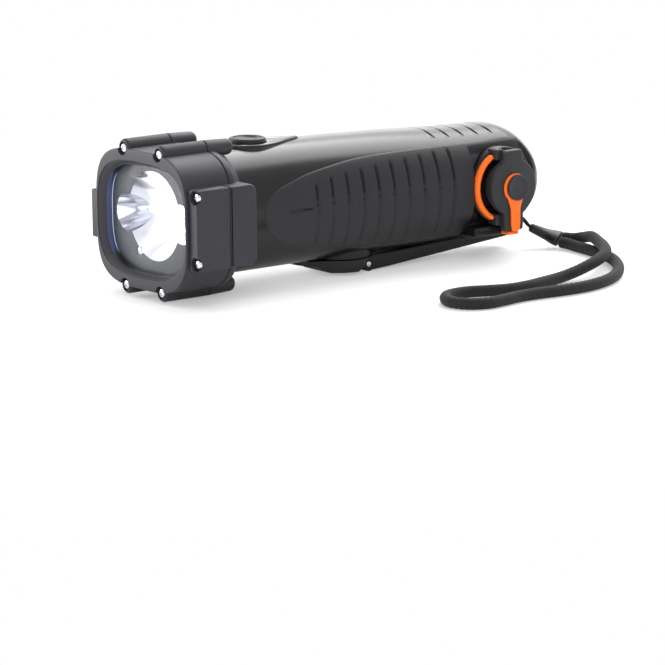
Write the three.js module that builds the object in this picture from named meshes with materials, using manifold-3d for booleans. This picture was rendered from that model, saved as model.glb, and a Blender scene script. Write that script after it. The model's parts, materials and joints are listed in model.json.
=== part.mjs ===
// Hand crank flashlight: a boxy torch head on a tapered barrel, a folding crank underneath, a
// charging port behind a tethered cover, and a braided wrist strap.
// Millimetres, +Z up. The pieces are drawn with the lens axis along Y: y = 0 is the face of the
// head, +Y runs to the rear, z = 0 is the middle of the head, and +X is the side with the port.

import * as THREE from 'three';
import { mergeVertices } from 'three/addons/utils/BufferGeometryUtils.js';
import Module from 'manifold-3d';

// Driving dimensions

const fit = 0.3;
const overrun = 2;
const arcSteps = 4;
const roundSides = 16;
const nearest = 1e-3;

const head = {
  halfWidth: 29.5, halfHeight: 26.8, corner: 21.5, length: 20.8, edge: 0.6,
  rimSide: 2.5, rimTop: 4.4, coveSide: 2.8, coveTop: 2.6, coveLip: 1.2, coveDepth: 5.2,
  seatSide: 1.4, seatTop: 1.8,
};
const ovalPower = 2.5;
const collar = { length: 7.9, rearSide: 3.7, rearTop: 1.8 };
const sidePlate = {
  stand: 5.5, sunk: 3.5, halfHeight: 15.4, front: 1.9, seam: 16.5, rear: 29.2, corner: 2.2, edge: 0.4,
};
// The left side has no screws, only a lower lug
const lug = { low: -10.9, high: 7.8 };
const tube = { x: 11.6, sunk: 0.5, radius: 3.5, front: 1.6, rear: 34.5, taper: 0.5, dome: 1.6 };
const headScrew = {
  headRadius: 1.75, headHeight: 1.2, crown: 0.45, crownShare: 0.7, shankRadius: 0.9, shank: 6,
  notch: 2.5, boreSlack: 1, sideInset: 2.6, sideZ: 12.6, sideDepth: 3.3,
};

const lens = { seal: 0.9, sealWidth: 1.5, thickness: 1.6 };
const lamp = {
  coverThickness: 1, reflectorDepth: 9.6, centreCup: 16.4, sideCup: 7.6, sideRim: 0.7, cupFloor: 1.8,
  mouthShare: 0.98, boardThickness: 1.2, screwZ: -14.8, screwX: -11.7,
};
const led = { radius: 2.2, height: 2.6 };
// Outline of an LED dome, as shares of its radius and height
const domeShares = [[0, 1], [0.6, 0.9], [0.95, 0.5]];
const cupSteps = 6;
const heatSink = { front: 22.4, depth: 12, plate: 2.5, fins: 7, finThickness: 1.6 };

const barrel = {
  halfWidth: 22.5, halfHeight: 23.2, centre: -1.2, power: 2.25, front: 21.4, rear: 181,
  planCorner: 16, endCorner: 14, riseStart: 125, rise: 2, wall: 2.4,
};
const barrelSides = 32;
const topGroove = { first: 132.3, pitch: 7.5, count: 5, halfWidth: 10, width: 1.7, depth: 1.1 };

const grip = {
  front: 46, rear: 176, depth: 1.2, grooves: 10, firstGroove: 70.1, groovePitch: 7.25,
  grooveWidth: 1.5, grooveDepth: 0.8, centreStart: 57.5, centreWidth: 1.4,
};
// Outline of the grip panel, as shares of its length and of the barrel's half height
const gripUpperShares = [
  [0.000, 0.06], [0.019, 0.23], [0.052, 0.34], [0.098, 0.42], [0.180, 0.53],
  [0.338, 0.65], [0.508, 0.70], [0.785, 0.745], [0.935, 0.775], [0.978, 0.70],
];
const gripLowerShares = [
  [1.000, 0.30], [1.000, -0.40], [0.965, -0.74], [0.850, -0.86], [0.715, -0.90], [0.431, -0.836],
  [0.223, -0.763], [0.095, -0.603], [0.022, -0.375], [0.000, -0.16],
];
const grooveEndShares = [-0.66, 0.44, -0.80, 0.67];
const gripCorners = 26;

const switchPlate = { y: 51.5, halfWidth: 8.8, front: 11.5, rear: 24.5, tip: 1.6, top: 23.3, seat: 20.9 };
const button = {
  radius: 7.2, top: 24.9, floor: 21.7, rim: 0.5, dish: 0.7, dishRadius: 4, dishFloor: 3.6, travel: 1.1,
  stem: 2.2, stemLength: 2.6,
};
const tactSwitch = { half: 3.4, height: 3.2, plunger: 1.6 };
const mainBoard = { front: 43, rear: 73, halfWidth: 13.2, bottom: 12.6, thickness: 1.6 };

const battery = { radius: 9, length: 65, y: 110, z: 8, tipRadius: 3, tip: 1 };
const holder = { halfWidth: 11.5, wall: 1.6, height: 11.5 };
const chassis = { front: 43, rear: 146, halfWidth: 18.4, top: -7.6, thickness: 1.3 };

const port = {
  y: 158.9, z: -1.5, bossRadius: 15.4, bossFace: 22.3, bossInner: 11.5, gasketOuter: 14.8,
  gasketInner: 11.9, gasketFace: 24.4, gasketSeat: 21.4, gasketEnd: 5.8,
  bayHalfWidth: 9, bayHalfHeight: 8.4, housingInner: 6, usbAWidth: 13.2, usbAHeight: 5.8,
  usbCWidth: 9.2, usbCHeight: 4.4, spacing: 7.6, shell: 0.5, wall: 1, tongue: 1.4, tongueBack: 5,
};
const cover = {
  radius: 11.4, inner: 24.9, face: 28.5, plugRadius: 9.6, plugInner: 22.9, edge: 0.7,
  topEar: 14.6, topHalf: 4.6, topRootHalf: 7.2, topRoot: 7.4, bottomEar: -19, bottomHalf: 4.8,
};
const knob = { radius: 4.9, face: 31.6, neck: 3.2, edge: 0.6 };
const tether = {
  ringOuter: 5.8, thickness: 1, halfWidth: 2.35, flare: 4, flareShare: 0.7, flareDepth: 4, bottom: -19,
  gap: 0.3,
};
const foot = { end: 28.1, root: 12.9, halfWidth: 2.7, top: -19.3, thickness: 1.4 };

const crank = { y: 94, radius: 12.5, baseBottom: -24.6, baseTop: -18.2, boreRadius: 4.6 };
const bush = { radius: 4.3, bore: 2.8, flange: 5.6, flangeHeight: 0.8 };
const shaft = { radius: 2.5, bottom: -26.6, top: -12.2, threadRadius: 1.2, threadDepth: 4.5 };
const hub = {
  top: -24.9, bottom: -29.6, nose: 71, noseHalf: 4.4, noseBottom: -25.6, stepY: 80, stepBottom: -27.2,
  edge: 1, stepRun: 4, flank: 30, tongueHalf: 2.9, reliefLength: 5.2, reliefHeight: 3.1,
};
const hubScrew = { headRadius: 2.4, headHeight: 1.3, shankRadius: 0.9, shank: 4, seat: -28 };
const hinge = { y: 102.5, z: -28.2, knuckle: 2.8, pin: 1.15, pinEnd: 9.9 };
const arm = {
  forkHalf: 9.8, forkSlot: 3.2, shoulder: 8.8, tip: 178.6, tipHalf: 5.4, tipRound: 5,
  topFront: -25.1, rearGap: 0.5, tipThickness: 2.6, bottomFront: -30.2, edge: 0.8,
};
const crankKnob = { radius: 4.5, height: 7.6, fromTip: 6.6, waist: 3.6, bore: 1.35, edge: 0.8 };
const knobPin = { radius: 1, cap: 2, capHeight: 0.6, collar: 0.9 };
const scoop = { clearance: 1.1, sweep: 26, top: -13.4 };
const rearBlock = { fromKnob: 15, thickness: 1.5 };

const gear = { module: 1, addendum: 0.8, dedendum: 1.05, pressure: 25, backlash: 0.26 };
const crankGear = { teeth: 28, bottom: -15.7, top: -12.9, bore: 2.8 };
const idler = { smallTeeth: 10, largeTeeth: 24, top: -9.9, wheelBottom: -12.5, bore: 1.8 };
const idlerPin = { radius: 1.5, collar: 2.6, top: -7.7 };
const rotor = { teeth: 10, shaft: 1, magnetRadius: 9, magnetHeight: 8 };
const generator = { radius: 12, wall: 1.2, bottom: -7.3, height: 13.4, throat: 2.2 };

const lanyard = { x: 9.6, y: 170, z: -17, pin: 1.7, pinHalf: 3.2, slotHalf: 3.5, slotHeight: 3.4 };
const strap = {
  cord: 2.3, string: 0.5, sides: 8, sleeveStart: 2.1, sleeveMiddleLong: 3.35, sleeveMiddleShort: 2.4,
  sleeveLong: 4.8, sleeveShort: 2.5,
};

// Where the wrist strap lies: the string that loops round the lanyard pin, then the braided cord
const stringRoute = [
  [12.9, 182.2, -23.0], [12.3, 180.8, -21.2], [11.8, 179.0, -18.9], [11.9, 176.6, -17.3],
  [12.0, 173.4, -17.0], [12.0, 170.0, -17.0], [11.3, 168.3, -17.0], [9.6, 167.6, -17.0],
  [7.9, 168.3, -17.0], [7.2, 170.0, -17.0], [7.6, 173.4, -17.0], [8.8, 176.6, -17.3],
  [10.0, 179.0, -18.9], [10.8, 180.8, -21.2], [11.5, 182.5, -23.0],
];
const sleeveRoute = [[12.8, 183.1, -23.5], [15.8, 187.2, -25.5], [20.4, 190.4, -27.2]];
const cordRoute = [
  [19.9, 192.8, -26.9], [23.8, 194.4, -26.9], [30.4, 194.4, -25.5], [38.7, 191.3, -23.8],
  [48.5, 186.4, -23.9], [58.0, 180.8, -23.8], [66.3, 174.6, -23.8], [72.8, 167.0, -24.2],
  [76.3, 158.6, -25.4], [77.2, 150.0, -27.2], [77.9, 141.5, -28.4], [80.0, 131.5, -28.6],
  [82.2, 121.5, -28.6], [82.3, 112.0, -28.6], [79.2, 103.5, -28.6], [76.2, 96.6, -28.6],
  [76.3, 89.0, -28.6], [79.6, 83.3, -28.6], [87.4, 79.6, -28.6], [94.3, 81.9, -28.6],
  [98.0, 88.4, -28.6], [97.4, 97.0, -28.6], [95.8, 106.0, -28.6], [96.0, 116.2, -28.6],
  [97.2, 126.0, -28.6], [97.2, 137.3, -28.6], [94.4, 148.6, -28.6], [88.2, 160.0, -28.6],
  [78.6, 170.4, -28.6], [67.4, 179.0, -28.6], [56.5, 184.6, -28.6], [47.0, 187.2, -28.6],
  [38.2, 188.8, -28.6], [30.6, 189.9, -28.6], [25.8, 189.9, -28.3], [22.6, 188.9, -28.0],
];
const cordSteps = 60;
const stringSteps = 20;

// Sizes that follow from the ones above

const cove = { halfWidth: head.halfWidth - head.rimSide, halfHeight: head.halfHeight - head.rimTop };
const lensHole = { halfWidth: cove.halfWidth - head.coveSide, halfHeight: cove.halfHeight - head.coveTop };
const lensSeat = {
  halfWidth: lensHole.halfWidth + head.seatSide, halfHeight: lensHole.halfHeight + head.seatTop,
};
const collarRear = {
  halfWidth: barrel.halfWidth + collar.rearSide, halfHeight: barrel.halfHeight + collar.rearTop,
};
const plateInner = head.halfWidth - sidePlate.sunk;
const plateOuter = head.halfWidth + sidePlate.stand;
const tubeZ = head.halfHeight - tube.sunk;
const sideScrewX = plateOuter - headScrew.sideInset;
const sideCupX = lensSeat.halfWidth - fit - lamp.sideCup - lamp.sideRim;
const barrelRise = (barrel.rise * (arm.tip - barrel.riseStart)) / (barrel.rear - barrel.riseStart);
const armTopRear = barrel.centre - barrel.halfHeight + barrelRise - arm.rearGap;
const armBottomRear = armTopRear - arm.tipThickness;
const knobY = arm.tip - crankKnob.fromTip;

// Solids: every helper gives a closed geometry with shared vertices

const wasm = await Module();
wasm.setup();

function closed(source) {
  const geometry = source.index ? source : source.clone();
  geometry.deleteAttribute('normal');
  geometry.deleteAttribute('uv');
  const merged = mergeVertices(geometry, 1e-4);
  const corners = merged.index.array;
  const kept = [];
  for (let i = 0; i < corners.length; i += 3) {
    const [a, b, c] = [corners[i], corners[i + 1], corners[i + 2]];
    if (a !== b && b !== c && c !== a) {
      kept.push(a, b, c);
    }
  }
  merged.setIndex(kept);
  return outward(merged);
}

function outward(geometry) {
  const p = geometry.attributes.position;
  const index = Array.from(geometry.index.array);
  const [a, b, c] = [new THREE.Vector3(), new THREE.Vector3(), new THREE.Vector3()];
  let volume = 0;
  for (let i = 0; i < index.length; i += 3) {
    a.fromBufferAttribute(p, index[i]);
    b.fromBufferAttribute(p, index[i + 1]);
    c.fromBufferAttribute(p, index[i + 2]);
    volume += a.dot(b.cross(c));
  }
  if (volume < 0) {
    index.reverse();
    geometry.setIndex(index);
  }
  return geometry;
}

function solid(geometry) {
  const vertProperties = new Float32Array(geometry.attributes.position.array);
  const triVerts = new Uint32Array(geometry.index.array);
  return new wasm.Manifold(new wasm.Mesh({ numProp: 3, vertProperties, triVerts }));
}

function surface(body) {
  const { vertProperties, triVerts, numProp } = body.getMesh();
  const count = vertProperties.length / numProp;
  const points = new Float32Array(count * 3);
  for (let i = 0; i < count; i += 1) {
    points.set(vertProperties.subarray(i * numProp, i * numProp + 3), i * 3);
  }
  const geometry = new THREE.BufferGeometry();
  geometry.setAttribute('position', new THREE.BufferAttribute(points, 3));
  geometry.setIndex(Array.from(triVerts));
  return geometry;
}

const cut = (base, ...tools) => {
  return surface(tools.reduce((body, tool) => body.subtract(solid(tool)), solid(base)));
};
const fuse = (base, ...more) => {
  return surface(more.reduce((body, piece) => body.add(solid(piece)), solid(base)));
};
const common = (a, b) => surface(solid(a).intersect(solid(b)));

// Extrusions along each axis. The flat outline is (x, z) along Y, (y, z) along X and (x, y) along Z.

function extrude(shapes, depth, edge = 0) {
  const options = { depth: depth - 2 * edge, curveSegments: arcSteps, bevelEnabled: edge > 0 };
  if (edge > 0) {
    Object.assign(options, { bevelThickness: edge, bevelSize: edge, bevelOffset: -edge, bevelSegments: 1 });
  }
  const geometry = new THREE.ExtrudeGeometry(shapes, options);
  geometry.translate(0, 0, edge);
  return geometry;
}

function alongY(shapes, y0, y1, edge) {
  return closed(extrude(shapes, y1 - y0, edge).rotateX(Math.PI / 2).translate(0, y1, 0));
}

const upright = new THREE.Matrix4().makeBasis(
  new THREE.Vector3(0, 1, 0), new THREE.Vector3(0, 0, 1), new THREE.Vector3(1, 0, 0));

function alongX(shapes, x0, x1, edge) {
  return closed(extrude(shapes, x1 - x0, edge).applyMatrix4(upright).translate(x0, 0, 0));
}

function alongZ(shapes, z0, z1, edge) {
  return closed(extrude(shapes, z1 - z0, edge).translate(0, 0, z0));
}

// Turned pieces: the profile is a list of [radius, height], the height runs along the axis
function turned(profile, axis, at = [0, 0, 0], sides = roundSides) {
  const points = profile.map(([r, h]) => new THREE.Vector2(r, h));
  const geometry = new THREE.LatheGeometry(points, sides);
  if (axis === 'z') {
    geometry.rotateX(Math.PI / 2);
  }
  if (axis === 'x') {
    geometry.rotateZ(-Math.PI / 2);
  }
  return closed(geometry.translate(...at));
}

function rod(radius, from, to, axis, at, sides) {
  return turned([[0, from], [radius, from], [radius, to], [0, to]], axis, at, sides);
}

function pipe(outer, inner, from, to, axis, at, sides) {
  const profile = [[inner, from], [outer, from], [outer, to], [inner, to], [inner, from]];
  return turned(profile, axis, at, sides);
}

function block(x0, x1, y0, y1, z0, z1) {
  const box = new THREE.BoxGeometry(x1 - x0, y1 - y0, z1 - z0);
  return closed(box.translate((x0 + x1) / 2, (y0 + y1) / 2, (z0 + z1) / 2));
}

// Outlines

const vectors = (points) => points.map(([u, v]) => new THREE.Vector2(u, v));
const polygon = (points) => new THREE.Shape(vectors(points));

const rectangle = (u0, u1, v0, v1) => polygon([[u0, v0], [u1, v0], [u1, v1], [u0, v1]]);

function roundRect(halfWidth, halfHeight, corner, u = 0, v = 0) {
  const [w, h] = [halfWidth - corner, halfHeight - corner];
  const shape = new THREE.Shape();
  shape.absarc(u + w, v + h, corner, 0, Math.PI / 2);
  shape.absarc(u - w, v + h, corner, Math.PI / 2, Math.PI);
  shape.absarc(u - w, v - h, corner, Math.PI, 1.5 * Math.PI);
  shape.absarc(u + w, v - h, corner, 1.5 * Math.PI, 2 * Math.PI);
  return shape;
}

function ovalPoints(halfWidth, halfHeight, power, count, centre = 0) {
  return Array.from({ length: count }, (_, i) => {
    const angle = (2 * Math.PI * i) / count;
    const [c, s] = [Math.cos(angle), Math.sin(angle)];
    const bulge = (value) => Math.sign(value) * Math.abs(value) ** (2 / power);
    return [halfWidth * bulge(c), centre + halfHeight * bulge(s)];
  });
}

const oval = (halfWidth, halfHeight) => polygon(ovalPoints(halfWidth, halfHeight, ovalPower, barrelSides));

// Skin through rings of [x, z] points at growing y, with flat ends
function loft(rings) {
  const count = rings[0].points.length;
  const positions = rings.flatMap(({ y, points }) => points.flatMap(([x, z]) => [x, y, z]));
  const index = [];
  for (let r = 0; r + 1 < rings.length; r += 1) {
    for (let i = 0; i < count; i += 1) {
      const [a, b] = [r * count + i, r * count + ((i + 1) % count)];
      index.push(a, b, a + count, b, b + count, a + count);
    }
  }
  for (let i = 1; i + 1 < count; i += 1) {
    const last = (rings.length - 1) * count;
    index.push(0, i + 1, i, last, last + i, last + i + 1);
  }
  const geometry = new THREE.BufferGeometry();
  geometry.setAttribute('position', new THREE.Float32BufferAttribute(positions, 3));
  geometry.setIndex(index);
  return closed(geometry);
}

// The barrel's skin, drawn in by inset. Both its plan and its side view end in a rounded corner.
function barrelSkin(inset, start = barrel.front) {
  const rear = barrel.rear - inset;
  const rounding = (corner, y) => {
    const reach = Math.max(0, y - (rear - corner)) / corner;
    return corner * (1 - Math.sqrt(Math.max(0, 1 - reach * reach)));
  };
  const planCorner = barrel.planCorner - inset;
  const endCorner = barrel.endCorner - inset;
  const section = (y) => {
    const rise = barrel.rise * Math.max(0, (y - barrel.riseStart) / (barrel.rear - barrel.riseStart));
    const width = barrel.halfWidth - inset - rounding(planCorner, y);
    const height = barrel.halfHeight - inset - rise / 2 - rounding(endCorner, y);
    return { y, points: ovalPoints(width, height, barrel.power, barrelSides, barrel.centre + rise / 2) };
  };
  const straight = [start, barrel.riseStart, rear - planCorner];
  const corner = Array.from({ length: arcSteps }, (_, i) => {
    return rear - planCorner + planCorner * Math.sin(((i + 1) / arcSteps) * (Math.PI / 2));
  });
  return loft([...straight, ...corner].map(section));
}

// Head

const frontShape = () => roundRect(head.halfWidth, head.halfHeight, head.corner);
const tubePlaces = [[1, 1], [-1, 1], [1, -1], [-1, -1]].map(([u, v]) => [u * tube.x, v * tubeZ]);
const sideScrewPlaces = [[sideScrewX, headScrew.sideZ], [sideScrewX, -headScrew.sideZ]];
const cupPlaces = [[0, lamp.centreCup], [sideCupX, lamp.sideCup], [-sideCupX, lamp.sideCup]];
const seatFront = head.coveDepth;
const sealRear = seatFront + fit + lens.seal;
const lensFront = sealRear + fit;
const coverFront = lensFront + lens.thickness + fit;
const reflectorFront = coverFront + lamp.coverThickness + fit;
const reflectorRear = reflectorFront + lamp.reflectorDepth;
const boardFront = head.length - lamp.boardThickness;

// The right side plate and the lower lug on the left, from outlines that are given their two heights
function sidePlatePair(shape) {
  const { halfHeight, edge } = sidePlate;
  const right = alongX(shape(-halfHeight, halfHeight), plateInner, plateOuter, edge);
  const left = alongX(shape(lug.low, lug.high), -plateOuter, -plateInner, edge);
  return [right, left];
}

function screwRoom(x, z, depth) {
  return rod(headScrew.notch, -overrun, depth, 'y', [x, 0, z], roundSides / 2);
}

function screwBore(x, z, depth) {
  const radius = headScrew.shankRadius + fit;
  const end = depth + headScrew.shank + headScrew.boreSlack;
  return rod(radius, depth - overrun, end, 'y', [x, 0, z], roundSides / 2);
}

function frontBezel() {
  const shell = alongY(frontShape(), 0, head.length, head.edge);
  const tubes = tubePlaces.map(([x, z]) => rod(tube.radius, tube.front, head.length, 'y', [x, 0, z]));
  const { front, seam } = sidePlate;
  const plates = sidePlatePair((low, high) => rectangle(front, seam, low, high));
  const ring = (halfWidth, halfHeight, y) => {
    return { y, points: ovalPoints(halfWidth, halfHeight, ovalPower, barrelSides) };
  };
  const opening = loft([
    ring(cove.halfWidth, cove.halfHeight, -overrun),
    ring(cove.halfWidth, cove.halfHeight, head.edge),
    ring(lensHole.halfWidth + head.coveLip, lensHole.halfHeight + head.coveLip, head.coveDepth / 2),
    ring(lensHole.halfWidth, lensHole.halfHeight, head.coveDepth + overrun),
  ]);
  const seat = alongY(oval(lensSeat.halfWidth, lensSeat.halfHeight), seatFront, head.length + overrun);
  const topRooms = tubePlaces.map(([x, z]) => screwRoom(x, z, tube.front));
  const sideRooms = sideScrewPlaces.map(([x, z]) => screwRoom(x, z, headScrew.sideDepth));
  const bores = [
    ...tubePlaces.map(([x, z]) => screwBore(x, z, tube.front)),
    ...sideScrewPlaces.map(([x, z]) => screwBore(x, z, headScrew.sideDepth)),
  ];
  return cut(fuse(cut(shell, ...topRooms), ...tubes, ...plates), opening, seat, ...sideRooms, ...bores);
}

function headCollar() {
  const front = head.length + fit;
  const rear = front + collar.length;
  const outline = (shape, y) => {
    return { y, points: shape.extractPoints(arcSteps).shape.slice(0, -1).map((p) => [p.x, p.y]) };
  };
  const corner = head.corner - (head.halfWidth - collarRear.halfWidth);
  const body = loft([
    outline(frontShape(), front),
    outline(frontShape(), front + collar.length / 4),
    outline(roundRect(collarRear.halfWidth, collarRear.halfHeight, corner), rear),
  ]);
  const tubes = tubePlaces.map(([x, z]) => {
    const profile = [
      [0, front], [tube.radius, front], [tube.radius - tube.taper, tube.rear - tube.dome],
      [tube.radius - tube.taper - tube.dome, tube.rear], [0, tube.rear],
    ];
    return turned(profile, 'y', [x, 0, z]);
  });
  const { seam, rear: plateRear, corner: plateCorner } = sidePlate;
  const rearPlate = (low, high) => {
    const shape = new THREE.Shape();
    shape.moveTo(seam + fit, low);
    shape.absarc(plateRear - plateCorner, low + plateCorner, plateCorner, -Math.PI / 2, 0);
    shape.absarc(plateRear - plateCorner, high - plateCorner, plateCorner, 0, Math.PI / 2);
    shape.lineTo(seam + fit, high);
    return shape;
  };
  const headRoom = alongY(roundRect(head.halfWidth + fit, head.halfHeight + fit, head.corner + fit),
    seam - overrun, front);
  const plates = sidePlatePair(rearPlate).map((plate) => cut(plate, headRoom));
  return cut(fuse(body, ...tubes, ...plates), barrelSkin(-fit));
}

function screwSolid() {
  const rim = headScrew.headHeight - headScrew.crown;
  return turned([
    [0, -headScrew.headHeight], [headScrew.headRadius * headScrew.crownShare, -headScrew.headHeight],
    [headScrew.headRadius, -rim], [headScrew.headRadius, -fit], [headScrew.shankRadius, -fit],
    [headScrew.shankRadius, headScrew.shank], [0, headScrew.shank],
  ], 'y', [0, 0, 0], arcSteps * 2);
}

function lensSeal() {
  const hole = oval(lensSeat.halfWidth - fit - lens.sealWidth, lensSeat.halfHeight - fit - lens.sealWidth);
  const ring = oval(lensSeat.halfWidth - fit, lensSeat.halfHeight - fit);
  ring.holes.push(hole);
  return alongY(ring, seatFront + fit, sealRear);
}

const seatedOval = () => oval(lensSeat.halfWidth - fit, lensSeat.halfHeight - fit);

function lensWindow() {
  return alongY(seatedOval(), lensFront, lensFront + lens.thickness);
}

function lampCover() {
  const plate = alongY(seatedOval(), coverFront, coverFront + lamp.coverThickness);
  const holes = cupPlaces.map(([x, r]) => {
    return rod(r, coverFront - overrun, coverFront + overrun, 'y', [x, 0, 0]);
  });
  const screwRoomThrough = rod(headScrew.headRadius + fit, coverFront - overrun, coverFront + overrun, 'y',
    [lamp.screwX, 0, lamp.screwZ]);
  return cut(plate, ...holes, screwRoomThrough);
}

// A reflector cup: a parabola of revolution opening towards the front
function cupTool(radius, x) {
  const depth = lamp.reflectorDepth - lamp.cupFloor;
  const curve = Array.from({ length: cupSteps }, (_, i) => {
    const share = 1 - i / cupSteps;
    return [radius * lamp.mouthShare * Math.sqrt(share), reflectorFront + depth * (1 - share)];
  });
  const mouth = [[0, reflectorFront - overrun], [radius * lamp.mouthShare, reflectorFront - overrun]];
  return turned([...mouth, ...curve, [0, reflectorFront + depth]], 'y', [x, 0, 0]);
}

function reflector() {
  const bowl = alongY(seatedOval(), reflectorFront, reflectorRear);
  const cups = cupPlaces.map(([x, r]) => cupTool(r, x));
  const ledHoles = cupPlaces.map(([x]) => {
    return rod(led.radius + fit, reflectorFront, reflectorRear + overrun, 'y', [x, 0, 0], arcSteps * 2);
  });
  const boreEnd = reflectorFront + headScrew.shank + headScrew.boreSlack;
  const screwHole = rod(headScrew.shankRadius + fit, reflectorFront - overrun, boreEnd, 'y',
    [lamp.screwX, 0, lamp.screwZ], arcSteps * 2);
  return cut(bowl, ...cups, ...ledHoles, screwHole);
}

function ledBoard() {
  return alongY(seatedOval(), boardFront, head.length);
}

function ledSolid() {
  return turned([
    ...domeShares.map(([across, up]) => [led.radius * across, -led.height * up]),
    [led.radius, -fit], [0, -fit],
  ], 'y', [0, 0, 0], arcSteps * 2);
}

function heatSinkSolid() {
  const inset = barrel.wall + fit;
  const { front, depth, plate, fins, finThickness } = heatSink;
  const rear = front + depth;
  const slab = block(-head.halfWidth, head.halfWidth, front, rear, -head.halfHeight, head.halfHeight);
  const span = 2 * (barrel.halfWidth - inset);
  const pitch = span / fins;
  const half = (pitch - finThickness) / 2;
  const slots = Array.from({ length: fins - 1 }, (_, i) => {
    const x = -span / 2 + pitch * (i + 1);
    return block(x - half, x + half, front + plate, rear + overrun, -head.halfHeight, head.halfHeight);
  });
  return cut(common(barrelSkin(inset), slab), ...slots);
}

// Barrel

const gripY = (share) => grip.front + share * (grip.rear - grip.front);
const gripZ = (share) => barrel.halfHeight * share;

function gripOutline(grow) {
  const knots = vectors([...gripUpperShares, ...gripLowerShares].map(([u, v]) => [gripY(u), gripZ(v)]));
  const curve = new THREE.SplineCurve([...knots, knots[0]]);
  const points = curve.getPoints(gripCorners).slice(0, -1);
  return new THREE.Shape(points.map((point, i) => {
    const before = points[(i + points.length - 1) % points.length];
    const after = points[(i + 1) % points.length];
    const along = after.clone().sub(before).normalize();
    return new THREE.Vector2(point.x - along.y * grow, point.y + along.x * grow);
  }));
}

const grooveY = (i) => grip.firstGroove + i * grip.groovePitch;

function gripGrooves() {
  const [firstLow, firstHigh, lastLow, lastHigh] = grooveEndShares;
  const slots = Array.from({ length: grip.grooves }, (_, i) => {
    const share = Math.sqrt(i / (grip.grooves - 1));
    const low = gripZ(firstLow + (lastLow - firstLow) * share);
    const high = gripZ(firstHigh + (lastHigh - firstHigh) * share);
    return rectangle(grooveY(i) - grip.grooveWidth / 2, grooveY(i) + grip.grooveWidth / 2, low, high);
  });
  const centreEnd = grooveY(0) - grip.groovePitch / 2;
  return [...slots, rectangle(grip.centreStart, centreEnd, -grip.centreWidth / 2, grip.centreWidth / 2)];
}

function gripPanel(side) {
  const [near, far] = [barrel.wall, barrel.halfWidth + overrun];
  const reach = side > 0 ? [near, far] : [-far, -near];
  const sheet = common(alongX(gripOutline(0), ...reach), barrelSkin(0));
  const hollow = barrelSkin(grip.depth, barrel.front - overrun);
  const [first, ...rest] = gripGrooves().map((shape) => alongX(shape, ...reach));
  const grooves = cut(fuse(first, ...rest), barrelSkin(grip.grooveDepth, barrel.front - overrun));
  const panel = cut(sheet, hollow, grooves);
  if (side < 0) {
    return cut(panel, knobScoop());
  }
  return cut(panel, rod(port.bossRadius + fit, 0, barrel.halfWidth + overrun, 'x', [0, port.y, port.z]),
    footRoom(fit));
}

function footRoom(gap) {
  const half = foot.halfWidth + gap;
  return block(foot.root - gap, foot.end + overrun, port.y - half, port.y + half,
    foot.top - foot.thickness - gap, foot.top + gap);
}

function teardrop(grow) {
  const shape = new THREE.Shape();
  const half = switchPlate.halfWidth + grow;
  const tipY = switchPlate.y + switchPlate.rear + grow;
  shape.absellipse(0, switchPlate.y, half, switchPlate.front + grow, Math.PI, 2 * Math.PI);
  shape.bezierCurveTo(half, switchPlate.y + switchPlate.front / 2, switchPlate.tip + grow, tipY,
    0, tipY);
  shape.bezierCurveTo(-switchPlate.tip - grow, tipY, -half, switchPlate.y + switchPlate.front / 2,
    -half, switchPlate.y);
  return shape;
}

// Room that the crank knob needs as it swings out sideways from under the barrel
function knobScoop() {
  const reach = knobY - crank.y;
  const half = crankKnob.radius + scoop.clearance;
  const turn = THREE.MathUtils.degToRad(scoop.sweep);
  const shape = new THREE.Shape();
  shape.absarc(0, crank.y, reach + half, Math.PI / 2, Math.PI / 2 + turn, false);
  shape.absarc(0, crank.y, reach - half, Math.PI / 2 + turn, Math.PI / 2, true);
  const channel = alongZ(shape, -head.halfHeight - overrun, scoop.top);
  const nest = rod(half, -head.halfHeight - overrun, scoop.top, 'z', [0, knobY, 0]);
  return fuse(channel, nest);
}

function lanyardSlot() {
  const { x, y, z, slotHalf, slotHeight } = lanyard;
  const mouth = block(x - slotHalf, x + slotHalf, y - slotHalf, barrel.rear + overrun,
    z - slotHeight / 2, z + slotHeight / 2);
  const lip = block(x - slotHalf, x + slotHalf, y + slotHalf, barrel.rear + overrun, -head.halfHeight,
    z + slotHeight / 2);
  const bore = rod(lanyard.pin + fit, z - lanyard.pinHalf - fit, z + lanyard.pinHalf + fit, 'z', [x, y, 0],
    arcSteps * 2);
  return fuse(mouth, lip, bore);
}

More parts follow.
